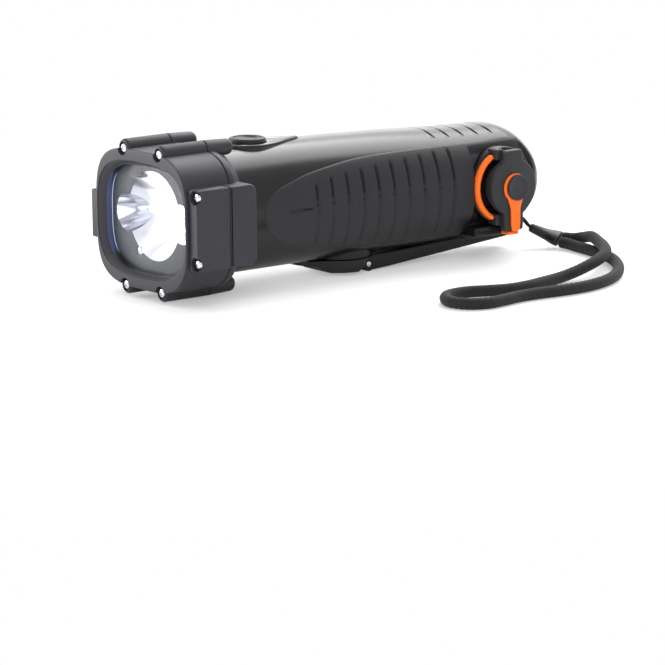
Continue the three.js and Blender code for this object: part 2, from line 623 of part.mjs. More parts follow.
function mainBarrel() {
  const far = barrel.halfWidth + overrun;
  const floor = block(-far, far, knobY - rearBlock.fromKnob, barrel.rear, -head.halfHeight,
    scoop.top + rearBlock.thickness);
  const cavity = cut(barrelSkin(barrel.wall, barrel.front - overrun), floor);
  const boss = rod(port.bossRadius, port.bossInner, port.bossFace, 'x', [0, port.y, port.z]);
  const shell = cut(fuse(barrelSkin(0), boss), cavity);
  const around = barrelSkin(-overrun, barrel.front + overrun);
  const recess = (reach) => cut(common(alongX(gripOutline(fit), ...reach), around),
    barrelSkin(grip.depth + fit, barrel.front - overrun));
  const rightRecess = cut(recess([barrel.wall, far]),
    rod(port.bossRadius, 0, far, 'x', [0, port.y, port.z]));
  const gasketRing = pipe(port.gasketOuter + fit, port.gasketInner - fit, port.gasketSeat - fit, far, 'x',
    [0, port.y, port.z], roundSides * 2);
  const gasketRoom = cut(gasketRing, behindGasket(-fit));
  const bay = alongX(roundRect(port.bayHalfWidth, port.bayHalfHeight, fit * 2, port.y, port.z),
    port.housingInner, far);
  const groove = (i) => alongZ(roundRect(topGroove.halfWidth, topGroove.width / 2, topGroove.width / 2, 0,
    topGroove.first + i * topGroove.pitch), barrel.centre + barrel.halfHeight - topGroove.depth,
  barrel.halfHeight + overrun);
  const grooves = Array.from({ length: topGroove.count }, (_, i) => groove(i));
  const plateRoom = alongZ(teardrop(fit), switchPlate.seat - fit, barrel.halfHeight + overrun);
  const stemRoom = rod(button.stem + fit, 0, barrel.halfHeight, 'z', [0, switchPlate.y, 0], arcSteps * 2);
  const baseRoom = rod(crank.radius + fit, -head.halfHeight - overrun, crank.baseTop + overrun, 'z',
    [0, crank.y, 0], roundSides * 2);
  return cut(shell, recess([-far, -barrel.wall]), rightRecess, gasketRoom, bay, ...grooves, plateRoom,
    stemRoom, baseRoom, knobScoop(), lanyardSlot(), footRoom(fit));
}

// Switch on the top

function switchPlateSolid() {
  const plate = alongZ(teardrop(0), switchPlate.seat, switchPlate.top, fit);
  const well = rod(button.radius + fit, button.floor, switchPlate.top + overrun, 'z', [0, switchPlate.y, 0],
    roundSides * 2);
  const stemRoom = rod(button.stem + fit, 0, switchPlate.top, 'z', [0, switchPlate.y, 0], arcSteps * 2);
  return cut(plate, well, stemRoom);
}

const stemEnd = button.floor + button.travel + fit - button.stemLength;

function switchButton() {
  const bottom = button.floor + button.travel + fit;
  return turned([
    [0, stemEnd], [button.stem, stemEnd], [button.stem, bottom], [button.radius, bottom],
    [button.radius, button.top - button.rim], [button.radius - button.rim, button.top],
    [button.dishRadius, button.top], [button.dishFloor, button.top - button.dish],
    [0, button.top - button.dish],
  ], 'z', [0, switchPlate.y, 0], roundSides * 2);
}

function tactSwitchSolid() {
  const top = stemEnd - button.travel - fit;
  const bottom = mainBoard.bottom + mainBoard.thickness + fit;
  const body = block(-tactSwitch.half, tactSwitch.half, switchPlate.y - tactSwitch.half,
    switchPlate.y + tactSwitch.half, bottom, bottom + tactSwitch.height);
  return fuse(body, rod(tactSwitch.plunger, bottom, top, 'z', [0, switchPlate.y, 0], arcSteps * 2));
}

function mainBoardSolid() {
  return block(-mainBoard.halfWidth, mainBoard.halfWidth, mainBoard.front, mainBoard.rear, mainBoard.bottom,
    mainBoard.bottom + mainBoard.thickness);
}

// Inside: chassis, battery and generator

const idlerY = crank.y - (gear.module * (crankGear.teeth + idler.smallTeeth)) / 2;
const rotorY = idlerY - (gear.module * (idler.largeTeeth + rotor.teeth)) / 2;

function chassisPlate() {
  const { front, rear, halfWidth, top, thickness } = chassis;
  const [bottom, above] = [top - thickness, top + overrun];
  const plate = block(-halfWidth, halfWidth, front, rear, bottom, top);
  const pinHole = rod(idlerPin.radius + fit, bottom - overrun, above, 'z', [0, idlerY, 0], arcSteps * 2);
  const throat = rod(generator.throat, bottom - overrun, above, 'z', [0, rotorY, 0], arcSteps * 2);
  return cut(plate, pinHole, throat);
}

function batteryCell() {
  const start = battery.y - battery.length / 2;
  const end = battery.y + battery.length / 2;
  const step = end - battery.tip;
  return turned([
    [0, start], [battery.radius, start], [battery.radius, step], [battery.tipRadius, step],
    [battery.tipRadius, end], [0, end],
  ], 'y', [0, 0, battery.z]);
}

function batteryHolder() {
  const start = battery.y - battery.length / 2 - fit - holder.wall;
  const end = battery.y + battery.length / 2 + fit + holder.wall;
  const bottom = chassis.top + fit;
  const box = block(-holder.halfWidth, holder.halfWidth, start, end, bottom, bottom + holder.height);
  const cell = rod(battery.radius + fit, start + holder.wall, end - holder.wall, 'y', [0, 0, battery.z]);
  const mouth = block(-battery.radius - fit, battery.radius + fit, start + holder.wall, end - holder.wall,
    battery.z, bottom + holder.height + overrun);
  return cut(box, cell, mouth);
}

function generatorCan() {
  const { radius, wall, bottom, height, throat } = generator;
  const room = bottom + wall + fit;
  const roof = bottom + height - wall;
  const outer = rod(radius, bottom, bottom + height, 'z', [0, rotorY, 0]);
  const inner = rod(radius - wall, room, roof, 'z', [0, rotorY, 0]);
  const hole = rod(throat, bottom - overrun, room + overrun, 'z', [0, rotorY, 0], arcSteps * 2);
  return cut(outer, inner, hole);
}

// Gears with involute flanks, drawn tooth by tooth

function gearShape(teeth, toothAngle, bore) {
  const pressure = THREE.MathUtils.degToRad(gear.pressure);
  const pitch = (gear.module * teeth) / 2;
  const base = pitch * Math.cos(pressure);
  const tip = pitch + gear.addendum * gear.module;
  const root = pitch - gear.dedendum * gear.module;
  const involute = (angle) => Math.tan(angle) - angle;
  const halfTooth = ((Math.PI * gear.module) / 2 - gear.backlash) / (2 * pitch);
  const halfAt = (radius) => {
    return halfTooth + involute(pressure) - involute(Math.acos(Math.min(1, base / Math.max(base, radius))));
  };
  const foot = Math.max(base, root);
  const flank = [root, foot, pitch, tip];
  const points = [];
  for (let t = 0; t < teeth; t += 1) {
    const middle = toothAngle + (2 * Math.PI * t) / teeth;
    const rising = flank.map((radius) => [radius, middle - halfAt(radius)]);
    const falling = flank.map((radius) => [radius, middle + halfAt(radius)]).reverse();
    points.push(...vectors([...rising, ...falling].map(([r, a]) => [r * Math.cos(a), r * Math.sin(a)])));
  }
  const apart = (point, i) => point.distanceTo(points[(i + 1) % points.length]) > nearest;
  const shape = new THREE.Shape(points.filter(apart));
  if (bore > 0) {
    shape.holes.push(new THREE.Path().absarc(0, 0, bore, 0, 2 * Math.PI, true));
  }
  return shape;
}

const towardsFront = -Math.PI / 2;
const towardsRear = Math.PI / 2;

function gearSolid(teeth, toothAngle, bore, bottom, top, y) {
  return alongZ(gearShape(teeth, toothAngle, bore), bottom, top).translate(0, y, 0);
}

function idlerGear() {
  const gapAngle = towardsRear + Math.PI / idler.smallTeeth;
  const { smallTeeth, largeTeeth, bore, wheelBottom, top } = idler;
  const pinion = gearSolid(smallTeeth, gapAngle, bore, crankGear.bottom, wheelBottom + fit, idlerY);
  const wheel = gearSolid(largeTeeth, towardsFront, bore, wheelBottom, top, idlerY);
  return fuse(pinion, wheel);
}

function idlerPinSolid() {
  const floor = barrel.centre - barrel.halfHeight + barrel.wall + fit;
  const seat = crankGear.bottom - fit;
  return turned([
    [0, floor], [idlerPin.collar, floor], [idlerPin.collar, seat], [idlerPin.radius, seat],
    [idlerPin.radius, idlerPin.top], [0, idlerPin.top],
  ], 'z', [0, idlerY, 0], arcSteps * 2);
}

function generatorRotor() {
  const gapAngle = towardsRear + Math.PI / rotor.teeth;
  const pinion = gearSolid(rotor.teeth, gapAngle, 0, idler.wheelBottom, idler.top, rotorY);
  const magnetBottom = generator.bottom + generator.wall + 2 * fit;
  const magnet = turned([
    [0, idler.wheelBottom + fit], [rotor.shaft, idler.wheelBottom + fit], [rotor.shaft, magnetBottom],
    [rotor.magnetRadius, magnetBottom], [rotor.magnetRadius, magnetBottom + rotor.magnetHeight],
    [0, magnetBottom + rotor.magnetHeight],
  ], 'z', [0, rotorY, 0]);
  return fuse(pinion, magnet);
}

// Crank

function crankBase() {
  const { y, radius, baseBottom, baseTop, boreRadius } = crank;
  const plug = rod(radius, baseBottom, baseTop, 'z', [0, y, 0], roundSides * 2);
  return cut(plug, rod(boreRadius, baseBottom - overrun, baseTop + overrun, 'z', [0, y, 0]));
}

function shaftBush() {
  return pipe(bush.radius, bush.bore, crank.baseBottom, crank.baseTop + fit + bush.flangeHeight, 'z',
    [0, crank.y, 0]);
}

function crankShaft() {
  const { radius, bottom, top, threadRadius, threadDepth } = shaft;
  return turned([
    [threadRadius, bottom], [radius, bottom], [radius, top], [0, top], [0, bottom + threadDepth],
    [threadRadius, bottom + threadDepth], [threadRadius, bottom],
  ], 'z', [0, crank.y, 0]);
}

function crankGearSolid() {
  return gearSolid(crankGear.teeth, towardsFront, crankGear.bore, crankGear.bottom, crankGear.top, crank.y);
}

// Side view of the hub: a nose that thickens in a step, the drum, and a tongue round the hinge pin
function crankHub() {
  const forkRoom = hinge.y - hinge.knuckle - fit;
  const tongue = hinge.knuckle - fit;
  const side = polygon([
    [hub.nose, hub.top], [hub.nose, hub.noseBottom], [hub.stepY, hub.stepBottom],
    [hub.stepY + hub.edge, hub.bottom + hub.edge], [hub.stepY + hub.stepRun, hub.bottom],
    [forkRoom, hub.bottom], [hinge.y, hinge.z - tongue], [hinge.y + tongue, hinge.z],
    [hinge.y + tongue / 2, hub.top - fit],
    [hinge.y, hub.top],
  ]);
  const plan = new THREE.Shape();
  const flank = THREE.MathUtils.degToRad(hub.flank);
  plan.absarc(0, crank.y, crank.radius, -flank, Math.PI + flank);
  plan.quadraticCurveTo(-hub.noseHalf, hub.stepY, -hub.noseHalf, hub.nose + hub.noseHalf);
  plan.absarc(0, hub.nose + hub.noseHalf, hub.noseHalf, Math.PI, 2 * Math.PI);
  const reach = roundRect(hub.tongueHalf, hinge.knuckle * 2, fit, 0, hinge.y - hinge.knuckle);
  const below = hub.bottom - overrun;
  const footprint = fuse(alongZ(plan, below, hub.top), alongZ(reach, below, hub.top));
  const body = common(alongX(side, -crank.radius - overrun, crank.radius + overrun), footprint);
  const rampFoot = forkRoom - hub.reliefLength;
  const forkShape = polygon([
    [rampFoot, below], [hinge.y + crank.radius, below], [hinge.y + crank.radius, hub.top + overrun],
    [forkRoom, hub.top + overrun], [forkRoom, hub.bottom + hub.reliefHeight], [rampFoot, hub.bottom],
  ]);
  const forks = [1, -1].map((s) => {
    const [inner, outer] = [hub.tongueHalf, crank.radius + overrun].map((x) => s * x);
    return alongX(forkShape, Math.min(inner, outer), Math.max(inner, outer));
  });
  const shaftRoom = rod(shaft.radius + fit, shaft.bottom - fit, hub.top + overrun, 'z', [0, crank.y, 0]);
  const screwHole = rod(hubScrew.shankRadius + fit, below, shaft.bottom, 'z', [0, crank.y, 0], arcSteps * 2);
  const headHole = rod(hubScrew.headRadius + fit, below, hubScrew.seat, 'z', [0, crank.y, 0], arcSteps * 2);
  const pinHole = rod(hinge.pin + fit, -hub.tongueHalf - overrun, hub.tongueHalf + overrun, 'x',
    [0, hinge.y, hinge.z], arcSteps * 2);
  return cut(body, ...forks, shaftRoom, screwHole, headHole, pinHole);
}

function hubScrewSolid() {
  const under = hubScrew.seat - fit;
  const [bottom, top] = [under - hubScrew.headHeight, under + hubScrew.shank];
  return turned([
    [0, bottom], [hubScrew.headRadius, bottom], [hubScrew.headRadius, under], [hubScrew.shankRadius, under],
    [hubScrew.shankRadius, top], [0, top],
  ], 'z', [0, crank.y, 0], arcSteps * 2);
}

function hingePin() {
  return rod(hinge.pin, -hinge.pinEnd, hinge.pinEnd, 'x', [0, hinge.y, hinge.z], arcSteps * 2);
}

// The arm seen from the side, folded against the barrel, with a forked front end on the hinge pin
function crankArm() {
  const start = hinge.y + hinge.knuckle / 2;
  const side = polygon([
    [start, arm.topFront], [arm.tip, armTopRear], [arm.tip, armBottomRear],
    [hinge.y + arm.shoulder, arm.bottomFront], [hinge.y, hinge.z - hinge.knuckle + fit],
  ]);
  const plan = new THREE.Shape();
  plan.moveTo(-arm.forkHalf, hinge.y - hinge.knuckle);
  plan.lineTo(arm.forkHalf, hinge.y - hinge.knuckle);
  plan.lineTo(arm.forkHalf, hinge.y + arm.shoulder);
  plan.lineTo(arm.tipHalf, arm.tip - arm.tipRound);
  plan.absellipse(0, arm.tip - arm.tipRound, arm.tipHalf, arm.tipRound, 0, Math.PI);
  const blank = common(alongX(side, -arm.forkHalf, arm.forkHalf, arm.edge),
    alongZ(plan, arm.bottomFront - overrun, armTopRear + overrun));
  const knuckle = rod(hinge.knuckle, -arm.forkHalf, arm.forkHalf, 'x', [0, hinge.y, hinge.z]);
  const slot = block(-arm.forkSlot, arm.forkSlot, hinge.y - crank.radius, hinge.y + arm.shoulder - 2 * fit,
    arm.bottomFront - overrun, armTopRear + overrun);
  const pinHole = rod(hinge.pin + fit, -arm.forkHalf - overrun, arm.forkHalf + overrun, 'x',
    [0, hinge.y, hinge.z], arcSteps * 2);
  const knobHole = rod(knobPin.radius + fit, arm.bottomFront - overrun, armTopRear + overrun, 'z',
    [0, knobY, 0], arcSteps * 2);
  return cut(fuse(blank, knuckle), slot, pinHole, knobHole);
}

const knobBottom = armTopRear + 2 * fit;
const knobTop = knobBottom + crankKnob.height;

function crankKnobSolid() {
  const { radius, waist, bore, edge } = crankKnob;
  return turned([
    [bore, knobBottom], [radius - edge, knobBottom], [radius, knobBottom + edge],
    [waist, (knobBottom + knobTop) / 2], [radius, knobTop - edge], [radius - edge, knobTop],
    [bore, knobTop], [bore, knobBottom],
  ], 'z', [0, knobY, 0]);
}

function knobPinSolid() {
  const capBottom = knobTop + fit;
  const end = armBottomRear + knobPin.collar;
  return turned([
    [0, end], [knobPin.radius, end], [knobPin.radius, capBottom], [knobPin.cap, capBottom],
    [knobPin.cap, capBottom + knobPin.capHeight], [0, capBottom + knobPin.capHeight],
  ], 'z', [0, knobY, 0], arcSteps * 2);
}

// Charging port

function portHousing() {
  const inner = port.housingInner + fit;
  const outer = port.gasketSeat - fit;
  const half = port.bayHalfWidth - fit;
  const box = alongX(roundRect(half, port.bayHalfHeight - fit, fit, port.y, port.z), inner, outer);
  const rooms = socketPlaces.map(([z, width, height]) => {
    return block(inner + port.wall, outer + overrun, port.y - width / 2 - fit, port.y + width / 2 + fit,
      z - height / 2 - fit, z + height / 2 + fit);
  });
  return cut(box, ...rooms);
}

const socketPlaces = [
  [port.z + port.spacing / 2, port.usbAWidth, port.usbAHeight],
  [port.z - port.spacing / 2, port.usbCWidth, port.usbCHeight],
];

function socketSolid([z, width, height], tongueThickness) {
  const inner = port.housingInner + fit + port.wall + fit;
  const outer = port.gasketSeat - fit;
  const shell = block(inner, outer, port.y - width / 2, port.y + width / 2, z - height / 2, z + height / 2);
  const room = block(inner + port.wall, outer + overrun, port.y - width / 2 + port.shell,
    port.y + width / 2 - port.shell, z - height / 2 + port.shell, z + height / 2 - port.shell);
  const rise = z + height / 2 - port.shell - tongueThickness;
  const tongue = block(inner, outer - port.tongueBack, port.y - width / 2 + port.shell,
    port.y + width / 2 - port.shell, rise, z + height / 2 - port.shell / 2);
  return fuse(cut(shell, room), tongue);
}

// The space behind the ends of the orange arc, moved forward by inset
function behindGasket(inset) {
  const start = port.y - port.gasketEnd - inset;
  return block(0, port.gasketFace + overrun, start, port.y + port.bossRadius + overrun,
    port.z - port.bossRadius - overrun, port.z + port.bossRadius + overrun);
}

// An orange arc round the front half of the port
function portGasket() {
  const { gasketOuter, gasketInner, gasketSeat, gasketFace } = port;
  const bead = (gasketOuter - gasketInner) / 4;
  const ring = turned([
    [gasketInner, gasketSeat], [gasketOuter, gasketSeat], [gasketOuter, gasketFace - bead],
    [gasketOuter - bead, gasketFace], [gasketInner + bead, gasketFace], [gasketInner, gasketFace - bead],
    [gasketInner, gasketSeat],
  ], 'x', [0, port.y, port.z], roundSides * 2);
  return cut(ring, behindGasket(0));
}

function portCover() {
  const disc = rod(cover.radius, cover.inner, cover.face, 'x', [0, port.y, port.z], roundSides * 2);
  const { topHalf, topRootHalf, topRoot, topEar, bottomHalf, bottomEar } = cover;
  const upper = polygon([
    [port.y - topRootHalf, topRoot], [port.y - topHalf, port.z + cover.radius], [port.y - topHalf, topEar],
    [port.y + topHalf, topEar], [port.y + topHalf, port.z + cover.radius], [port.y + topRootHalf, topRoot],
    [port.y, port.z],
  ]);
  const lower = roundRect(bottomHalf, (port.z - bottomEar) / 2, cover.edge, port.y, (port.z + bottomEar) / 2);
  const ears = [upper, lower].map((shape) => alongX(shape, cover.inner, cover.face));
  const plug = rod(cover.plugRadius, cover.plugInner, cover.inner + fit, 'x', [0, port.y, port.z]);
  const neckRoom = rod(knob.neck + fit, cover.face - cover.edge * 2, cover.face + overrun, 'x',
    [0, port.y, port.z]);
  return cut(fuse(disc, ...ears, plug), neckRoom);
}

function coverKnob() {
  const { radius, face, neck, edge } = knob;
  const root = cover.face - cover.edge;
  const seat = cover.face + tether.gap + tether.thickness + fit;
  return turned([
    [0, root], [neck, root], [neck, seat], [radius, seat], [radius, face - edge], [radius - edge, face],
    [0, face],
  ], 'x', [0, port.y, port.z], roundSides * 2);
}

function coverTether() {
  const [inner, outer] = [cover.face + tether.gap, cover.face + tether.gap + tether.thickness];
  const ring = rod(tether.ringOuter, inner, outer, 'x', [0, port.y, port.z], roundSides * 2);
  const flareTop = port.z - tether.ringOuter * tether.flareShare;
  const flareBend = flareTop - tether.halfWidth;
  const flareEnd = flareTop - tether.flareDepth;
  const [near, far] = [port.y - tether.halfWidth, port.y + tether.halfWidth];
  const tail = new THREE.Shape();
  tail.moveTo(port.y - tether.flare, flareTop);
  tail.quadraticCurveTo(near, flareBend, near, flareEnd);
  tail.lineTo(near, tether.bottom);
  tail.lineTo(far, tether.bottom);
  tail.lineTo(far, flareEnd);
  tail.quadraticCurveTo(far, flareBend, port.y + tether.flare, flareTop);
  const hole = rod(knob.neck + fit, inner - overrun, outer + overrun, 'x', [0, port.y, port.z]);
  return cut(fuse(ring, alongX(tail, inner, outer)), hole);
}

function tetherFoot() {
  const shape = roundRect((foot.end - foot.root) / 2, foot.halfWidth, foot.thickness / 2,
    (foot.end + foot.root) / 2, port.y);
  return alongZ(shape, foot.top - foot.thickness, foot.top);
}

// Wrist strap

function tubeAlong(route, radius, steps) {
  const curve = new THREE.CatmullRomCurve3(route.map((point) => new THREE.Vector3(...point)));
  const section = new THREE.Shape(Array.from({ length: strap.sides }, (_, i) => {
    const angle = (2 * Math.PI * i) / strap.sides;
    return new THREE.Vector2(radius * Math.cos(angle), radius * Math.sin(angle));
  }));
  return closed(new THREE.ExtrudeGeometry(section, { steps, extrudePath: curve, bevelEnabled: false }));
}

// The shrunk sleeve: round over the string, flattening to hold both ends of the cord side by side
function strapSleeve() {
  const [start, middle, end] = sleeveRoute.map((point) => new THREE.Vector3(...point));
  const cordStart = new THREE.Vector3(...cordRoute[0]);
  const across = new THREE.Vector3(...cordRoute[cordRoute.length - 1]).sub(cordStart).normalize();
  const sections = [
    [start, middle.clone().sub(start), strap.sleeveStart, strap.sleeveStart],
    [middle, end.clone().sub(start), strap.sleeveMiddleLong, strap.sleeveMiddleShort],
    [end, end.clone().sub(middle), strap.sleeveLong, strap.sleeveShort],
  ];
  const count = roundSides;
  const positions = sections.flatMap(([centre, along, wide, tall]) => {
    const upright = new THREE.Vector3().crossVectors(across, along).normalize();
    const level = new THREE.Vector3().crossVectors(along, upright).normalize();
    return ovalPoints(wide, tall, 2, count).flatMap(([u, v]) => {
      return centre.clone().addScaledVector(level, u).addScaledVector(upright, v).toArray();
    });
  });
  const index = [];
  for (let r = 0; r + 1 < sections.length; r += 1) {
    for (let i = 0; i < count; i += 1) {
      const [a, b] = [r * count + i, r * count + ((i + 1) % count)];
      index.push(a, b, a + count, b, b + count, a + count);
    }
  }
  const last = (sections.length - 1) * count;
  for (let i = 1; i + 1 < count; i += 1) {
    index.push(0, i + 1, i, last, last + i, last + i + 1);
  }
  const geometry = new THREE.BufferGeometry();
  geometry.setAttribute('position', new THREE.Float32BufferAttribute(positions, 3));
  geometry.setIndex(index);
  return closed(geometry);
}

function lanyardPin() {
  const { x, y, z, pin, pinHalf } = lanyard;
  return rod(pin, z - pinHalf, z + pinHalf, 'z', [x, y, 0], arcSteps * 2);
}

// Finishes

const finish = (color, roughness, metalness = 0) => {
  return () => new THREE.MeshStandardMaterial({ color, roughness, metalness });
};
const satinBlack = finish(0x2f2f33, 0.42);
const headBlack = finish(0x36353a, 0.5);
const glossBlack = finish(0x1c1c1f, 0.15);
const rubberBlack = finish(0x313135, 0.75);
const orange = finish(0xf26b21, 0.5);
const chrome = finish(0xd8d9dc, 0.15, 1);
const steel = finish(0x9a9c9f, 0.35, 1);
const brass = finish(0xc8a24a, 0.35, 1);
const clear = finish(0xe8f0ff, 0.05);
const glow = finish(0xffffff, 0.3);
const boardGreen = finish(0x1d5a3a, 0.5);
const whiteNylon = finish(0xe6e4dc, 0.5);
const cellBlue = finish(0x2b5fa8, 0.35);
const aluminium = finish(0xb4b6b8, 0.4, 1);
const braid = finish(0x2a2a2c, 0.85);

// Assembly

const torch = new THREE.Group();
const lowest = hinge.z - hinge.knuckle;
torch.position.set(0, -barrel.rear / 2, -lowest);

function add(name, geometry, material, x = 0, y = 0, z = 0) {
  const piece = new THREE.Mesh(geometry, material());
  piece.name = name;
  piece.position.set(x, y, z);
  torch.add(piece);
}

function addHead() {
  add('front_bezel', frontBezel(), headBlack);
  add('head_collar', headCollar(), headBlack);
  add('lens_seal', lensSeal(), rubberBlack);
  add('lens_window', lensWindow(), clear);
  add('lamp_cover', lampCover(), glossBlack);
  add('reflector', reflector(), chrome);
  add('reflector_screw', screwSolid(), chrome, lamp.screwX, reflectorFront, lamp.screwZ);
  add('led_board', ledBoard(), boardGreen);
  add('led_centre', ledSolid(), glow, 0, boardFront, 0);
  add('led_left', ledSolid(), glow, -sideCupX, boardFront, 0);
  add('led_right', ledSolid(), glow, sideCupX, boardFront, 0);
  add('heat_sink', heatSinkSolid(), aluminium);
  const words = ['top_right', 'top_left', 'bottom_right', 'bottom_left'];
  tubePlaces.forEach(([x, z], i) => add(`tube_screw_${words[i]}`, screwSolid(), chrome, x, tube.front, z));
  const sideWords = ['right_upper', 'right_lower'];
  sideScrewPlaces.forEach(([x, z], i) => {
    add(`side_screw_${sideWords[i]}`, screwSolid(), chrome, x, headScrew.sideDepth, z);
  });
}

function addBarrel() {
  add('main_barrel', mainBarrel(), satinBlack);
  add('grip_panel_right', gripPanel(1), rubberBlack);
  add('grip_panel_left', gripPanel(-1), rubberBlack);
  add('switch_plate', switchPlateSolid(), glossBlack);
  add('switch_button', switchButton(), rubberBlack);
  add('tact_switch', tactSwitchSolid(), whiteNylon);
  add('main_board', mainBoardSolid(), boardGreen);
  add('chassis_plate', chassisPlate(), rubberBlack);
  add('battery_cell', batteryCell(), cellBlue);
  add('battery_holder', batteryHolder(), glossBlack);
}

function addPort() {
  add('port_housing', portHousing(), satinBlack);
  add('usb_a_socket', socketSolid(socketPlaces[0], port.tongue), steel);
  add('usb_c_socket', socketSolid(socketPlaces[1], port.shell), steel);
  add('port_gasket', portGasket(), orange);
  add('port_cover', portCover(), rubberBlack);
  add('cover_knob', coverKnob(), satinBlack);
  add('cover_tether', coverTether(), orange);
  add('tether_foot', tetherFoot(), orange);
}

function addCrank() {
  add('crank_base', crankBase(), satinBlack);
  add('shaft_bush', shaftBush(), brass);
  add('crank_shaft', crankShaft(), steel);
  add('crank_hub', crankHub(), satinBlack);
  add('hub_screw', hubScrewSolid(), steel);
  add('crank_gear', crankGearSolid(), whiteNylon);
  add('idler_gear', idlerGear(), whiteNylon);
  add('idler_pin', idlerPinSolid(), steel);
  add('generator_can', generatorCan(), steel);
  add('generator_rotor', generatorRotor(), aluminium);
  add('crank_arm', crankArm(), satinBlack);
  add('hinge_pin', hingePin(), chrome);
  add('crank_knob', crankKnobSolid(), satinBlack);
  add('knob_pin', knobPinSolid(), steel);
}

function addStrap() {
  add('lanyard_pin', lanyardPin(), steel);
  add('strap_string', tubeAlong(stringRoute, strap.string, stringSteps), braid);
  add('strap_sleeve', strapSleeve(), rubberBlack);
  add('strap_cord', tubeAlong(cordRoute, strap.cord, cordSteps), braid);
}

addHead();
addBarrel();
addPort();
addCrank();
addStrap();

export default torch;
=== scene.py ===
# %% [markdown]
# A hand crank flashlight in cells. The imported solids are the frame: they say where everything is and
# what moves with what. Each cell below dresses one piece of that frame with a finer surface, or
# gives a solid whose shape is already right its real finish.

# %% The frame
import json
import math

import bpy
import numpy as np
from mathutils import Matrix


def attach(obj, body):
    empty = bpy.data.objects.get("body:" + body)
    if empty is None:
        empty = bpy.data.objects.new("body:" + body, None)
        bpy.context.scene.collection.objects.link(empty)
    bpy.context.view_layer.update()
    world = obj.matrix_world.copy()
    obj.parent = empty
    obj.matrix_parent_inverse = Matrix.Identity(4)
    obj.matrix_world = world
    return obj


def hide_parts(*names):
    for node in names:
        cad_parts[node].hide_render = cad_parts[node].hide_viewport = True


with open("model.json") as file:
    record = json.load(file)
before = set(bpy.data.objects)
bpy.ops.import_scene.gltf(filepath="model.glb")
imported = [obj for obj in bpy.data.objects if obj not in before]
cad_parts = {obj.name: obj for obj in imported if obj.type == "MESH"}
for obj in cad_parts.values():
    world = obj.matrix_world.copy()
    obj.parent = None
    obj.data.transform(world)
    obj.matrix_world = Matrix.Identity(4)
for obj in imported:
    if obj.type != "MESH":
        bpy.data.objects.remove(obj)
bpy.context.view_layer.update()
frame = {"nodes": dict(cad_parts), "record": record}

# %% [markdown]
# The solids were drawn in millimetres along the lens axis: y = 0 is the face of the head, and z = 0
# its middle. Working in the same numbers keeps a dressed piece on its solid, so one helper turns
# them into the row's metres, where the torch is centred and rests on the ground.

# %% Lengths
DRAWN_ORIGIN = np.array([0.0, -90.5, 31.0])
FIT = 0.3


def to_row(points):
    """Drawn millimetres to row metres: add the drawing's origin, then divide by 1000."""
    return (np.asarray(points, float) + DRAWN_ORIGIN) * 0.001


def steps(low, high, count):
    return np.linspace(low, high, count)


# %% [markdown]
# A camera is placed first, because the strap has to lie where it can be seen. The photograph was
# taken with a long lens from the front right, a little above: a low angle that shows the lit lens
# and one side. A long lens keeps the two ends of the torch nearly the same size.

# %% Camera
AZIMUTH, ELEVATION, ROLL = (math.radians(a) for a in (52.711, 11.544, -0.742))
CAMERA_PLACE = (1.28499, -0.97867, 0.30569)
LENS_MM, SENSOR_MM = 227.2, 36.0

back = np.array([
    math.sin(AZIMUTH) * math.cos(ELEVATION), -math.cos(AZIMUTH) * math.cos(ELEVATION), math.sin(ELEVATION),
])
level = np.array([math.cos(AZIMUTH), math.sin(AZIMUTH), 0.0])
above = np.cross(back, level)
right = level * math.cos(ROLL) + above * math.sin(ROLL)
up = above * math.cos(ROLL) - level * math.sin(ROLL)
pose = Matrix(np.column_stack([right, up, back]).tolist()).to_4x4()
pose.translation = CAMERA_PLACE

lens_data = bpy.data.cameras.new("photo_lens")
lens_data.lens = LENS_MM
lens_data.sensor_width = SENSOR_MM
lens_data.clip_start = 0.05
camera = bpy.data.objects.new("photo_camera", lens_data)
camera.matrix_world = pose
bpy.context.scene.collection.objects.link(camera)
bpy.context.scene.camera = camera
print("camera at", CAMERA_PLACE)

# %% [markdown]
# Finishes are node networks, and the sums in them are easier to read as sums. Field wraps one socket
# and overloads the signs, so that 0.4 + 0.1 * grain adds the two Math nodes that it needs. Finish
# holds one material, and its node method makes any other node: settings first, then the sockets.


# %% Shader sums
class Field:
    """A number that varies over a surface: one socket, with sums, products and powers as Math nodes."""

    def __init__(self, finish, socket):
        self.finish = finish
        self.socket = socket

    def math(self, operation, first, second):
        return self.finish.node("ShaderNodeMath", {"operation": operation}, first, second)

    def __add__(self, other):
        return self.math("ADD", self, other)

    def __mul__(self, other):
        return self.math("MULTIPLY", self, other)

    def __pow__(self, other):
        return self.math("POWER", self, other)

    __radd__ = __add__
    __rmul__ = __mul__


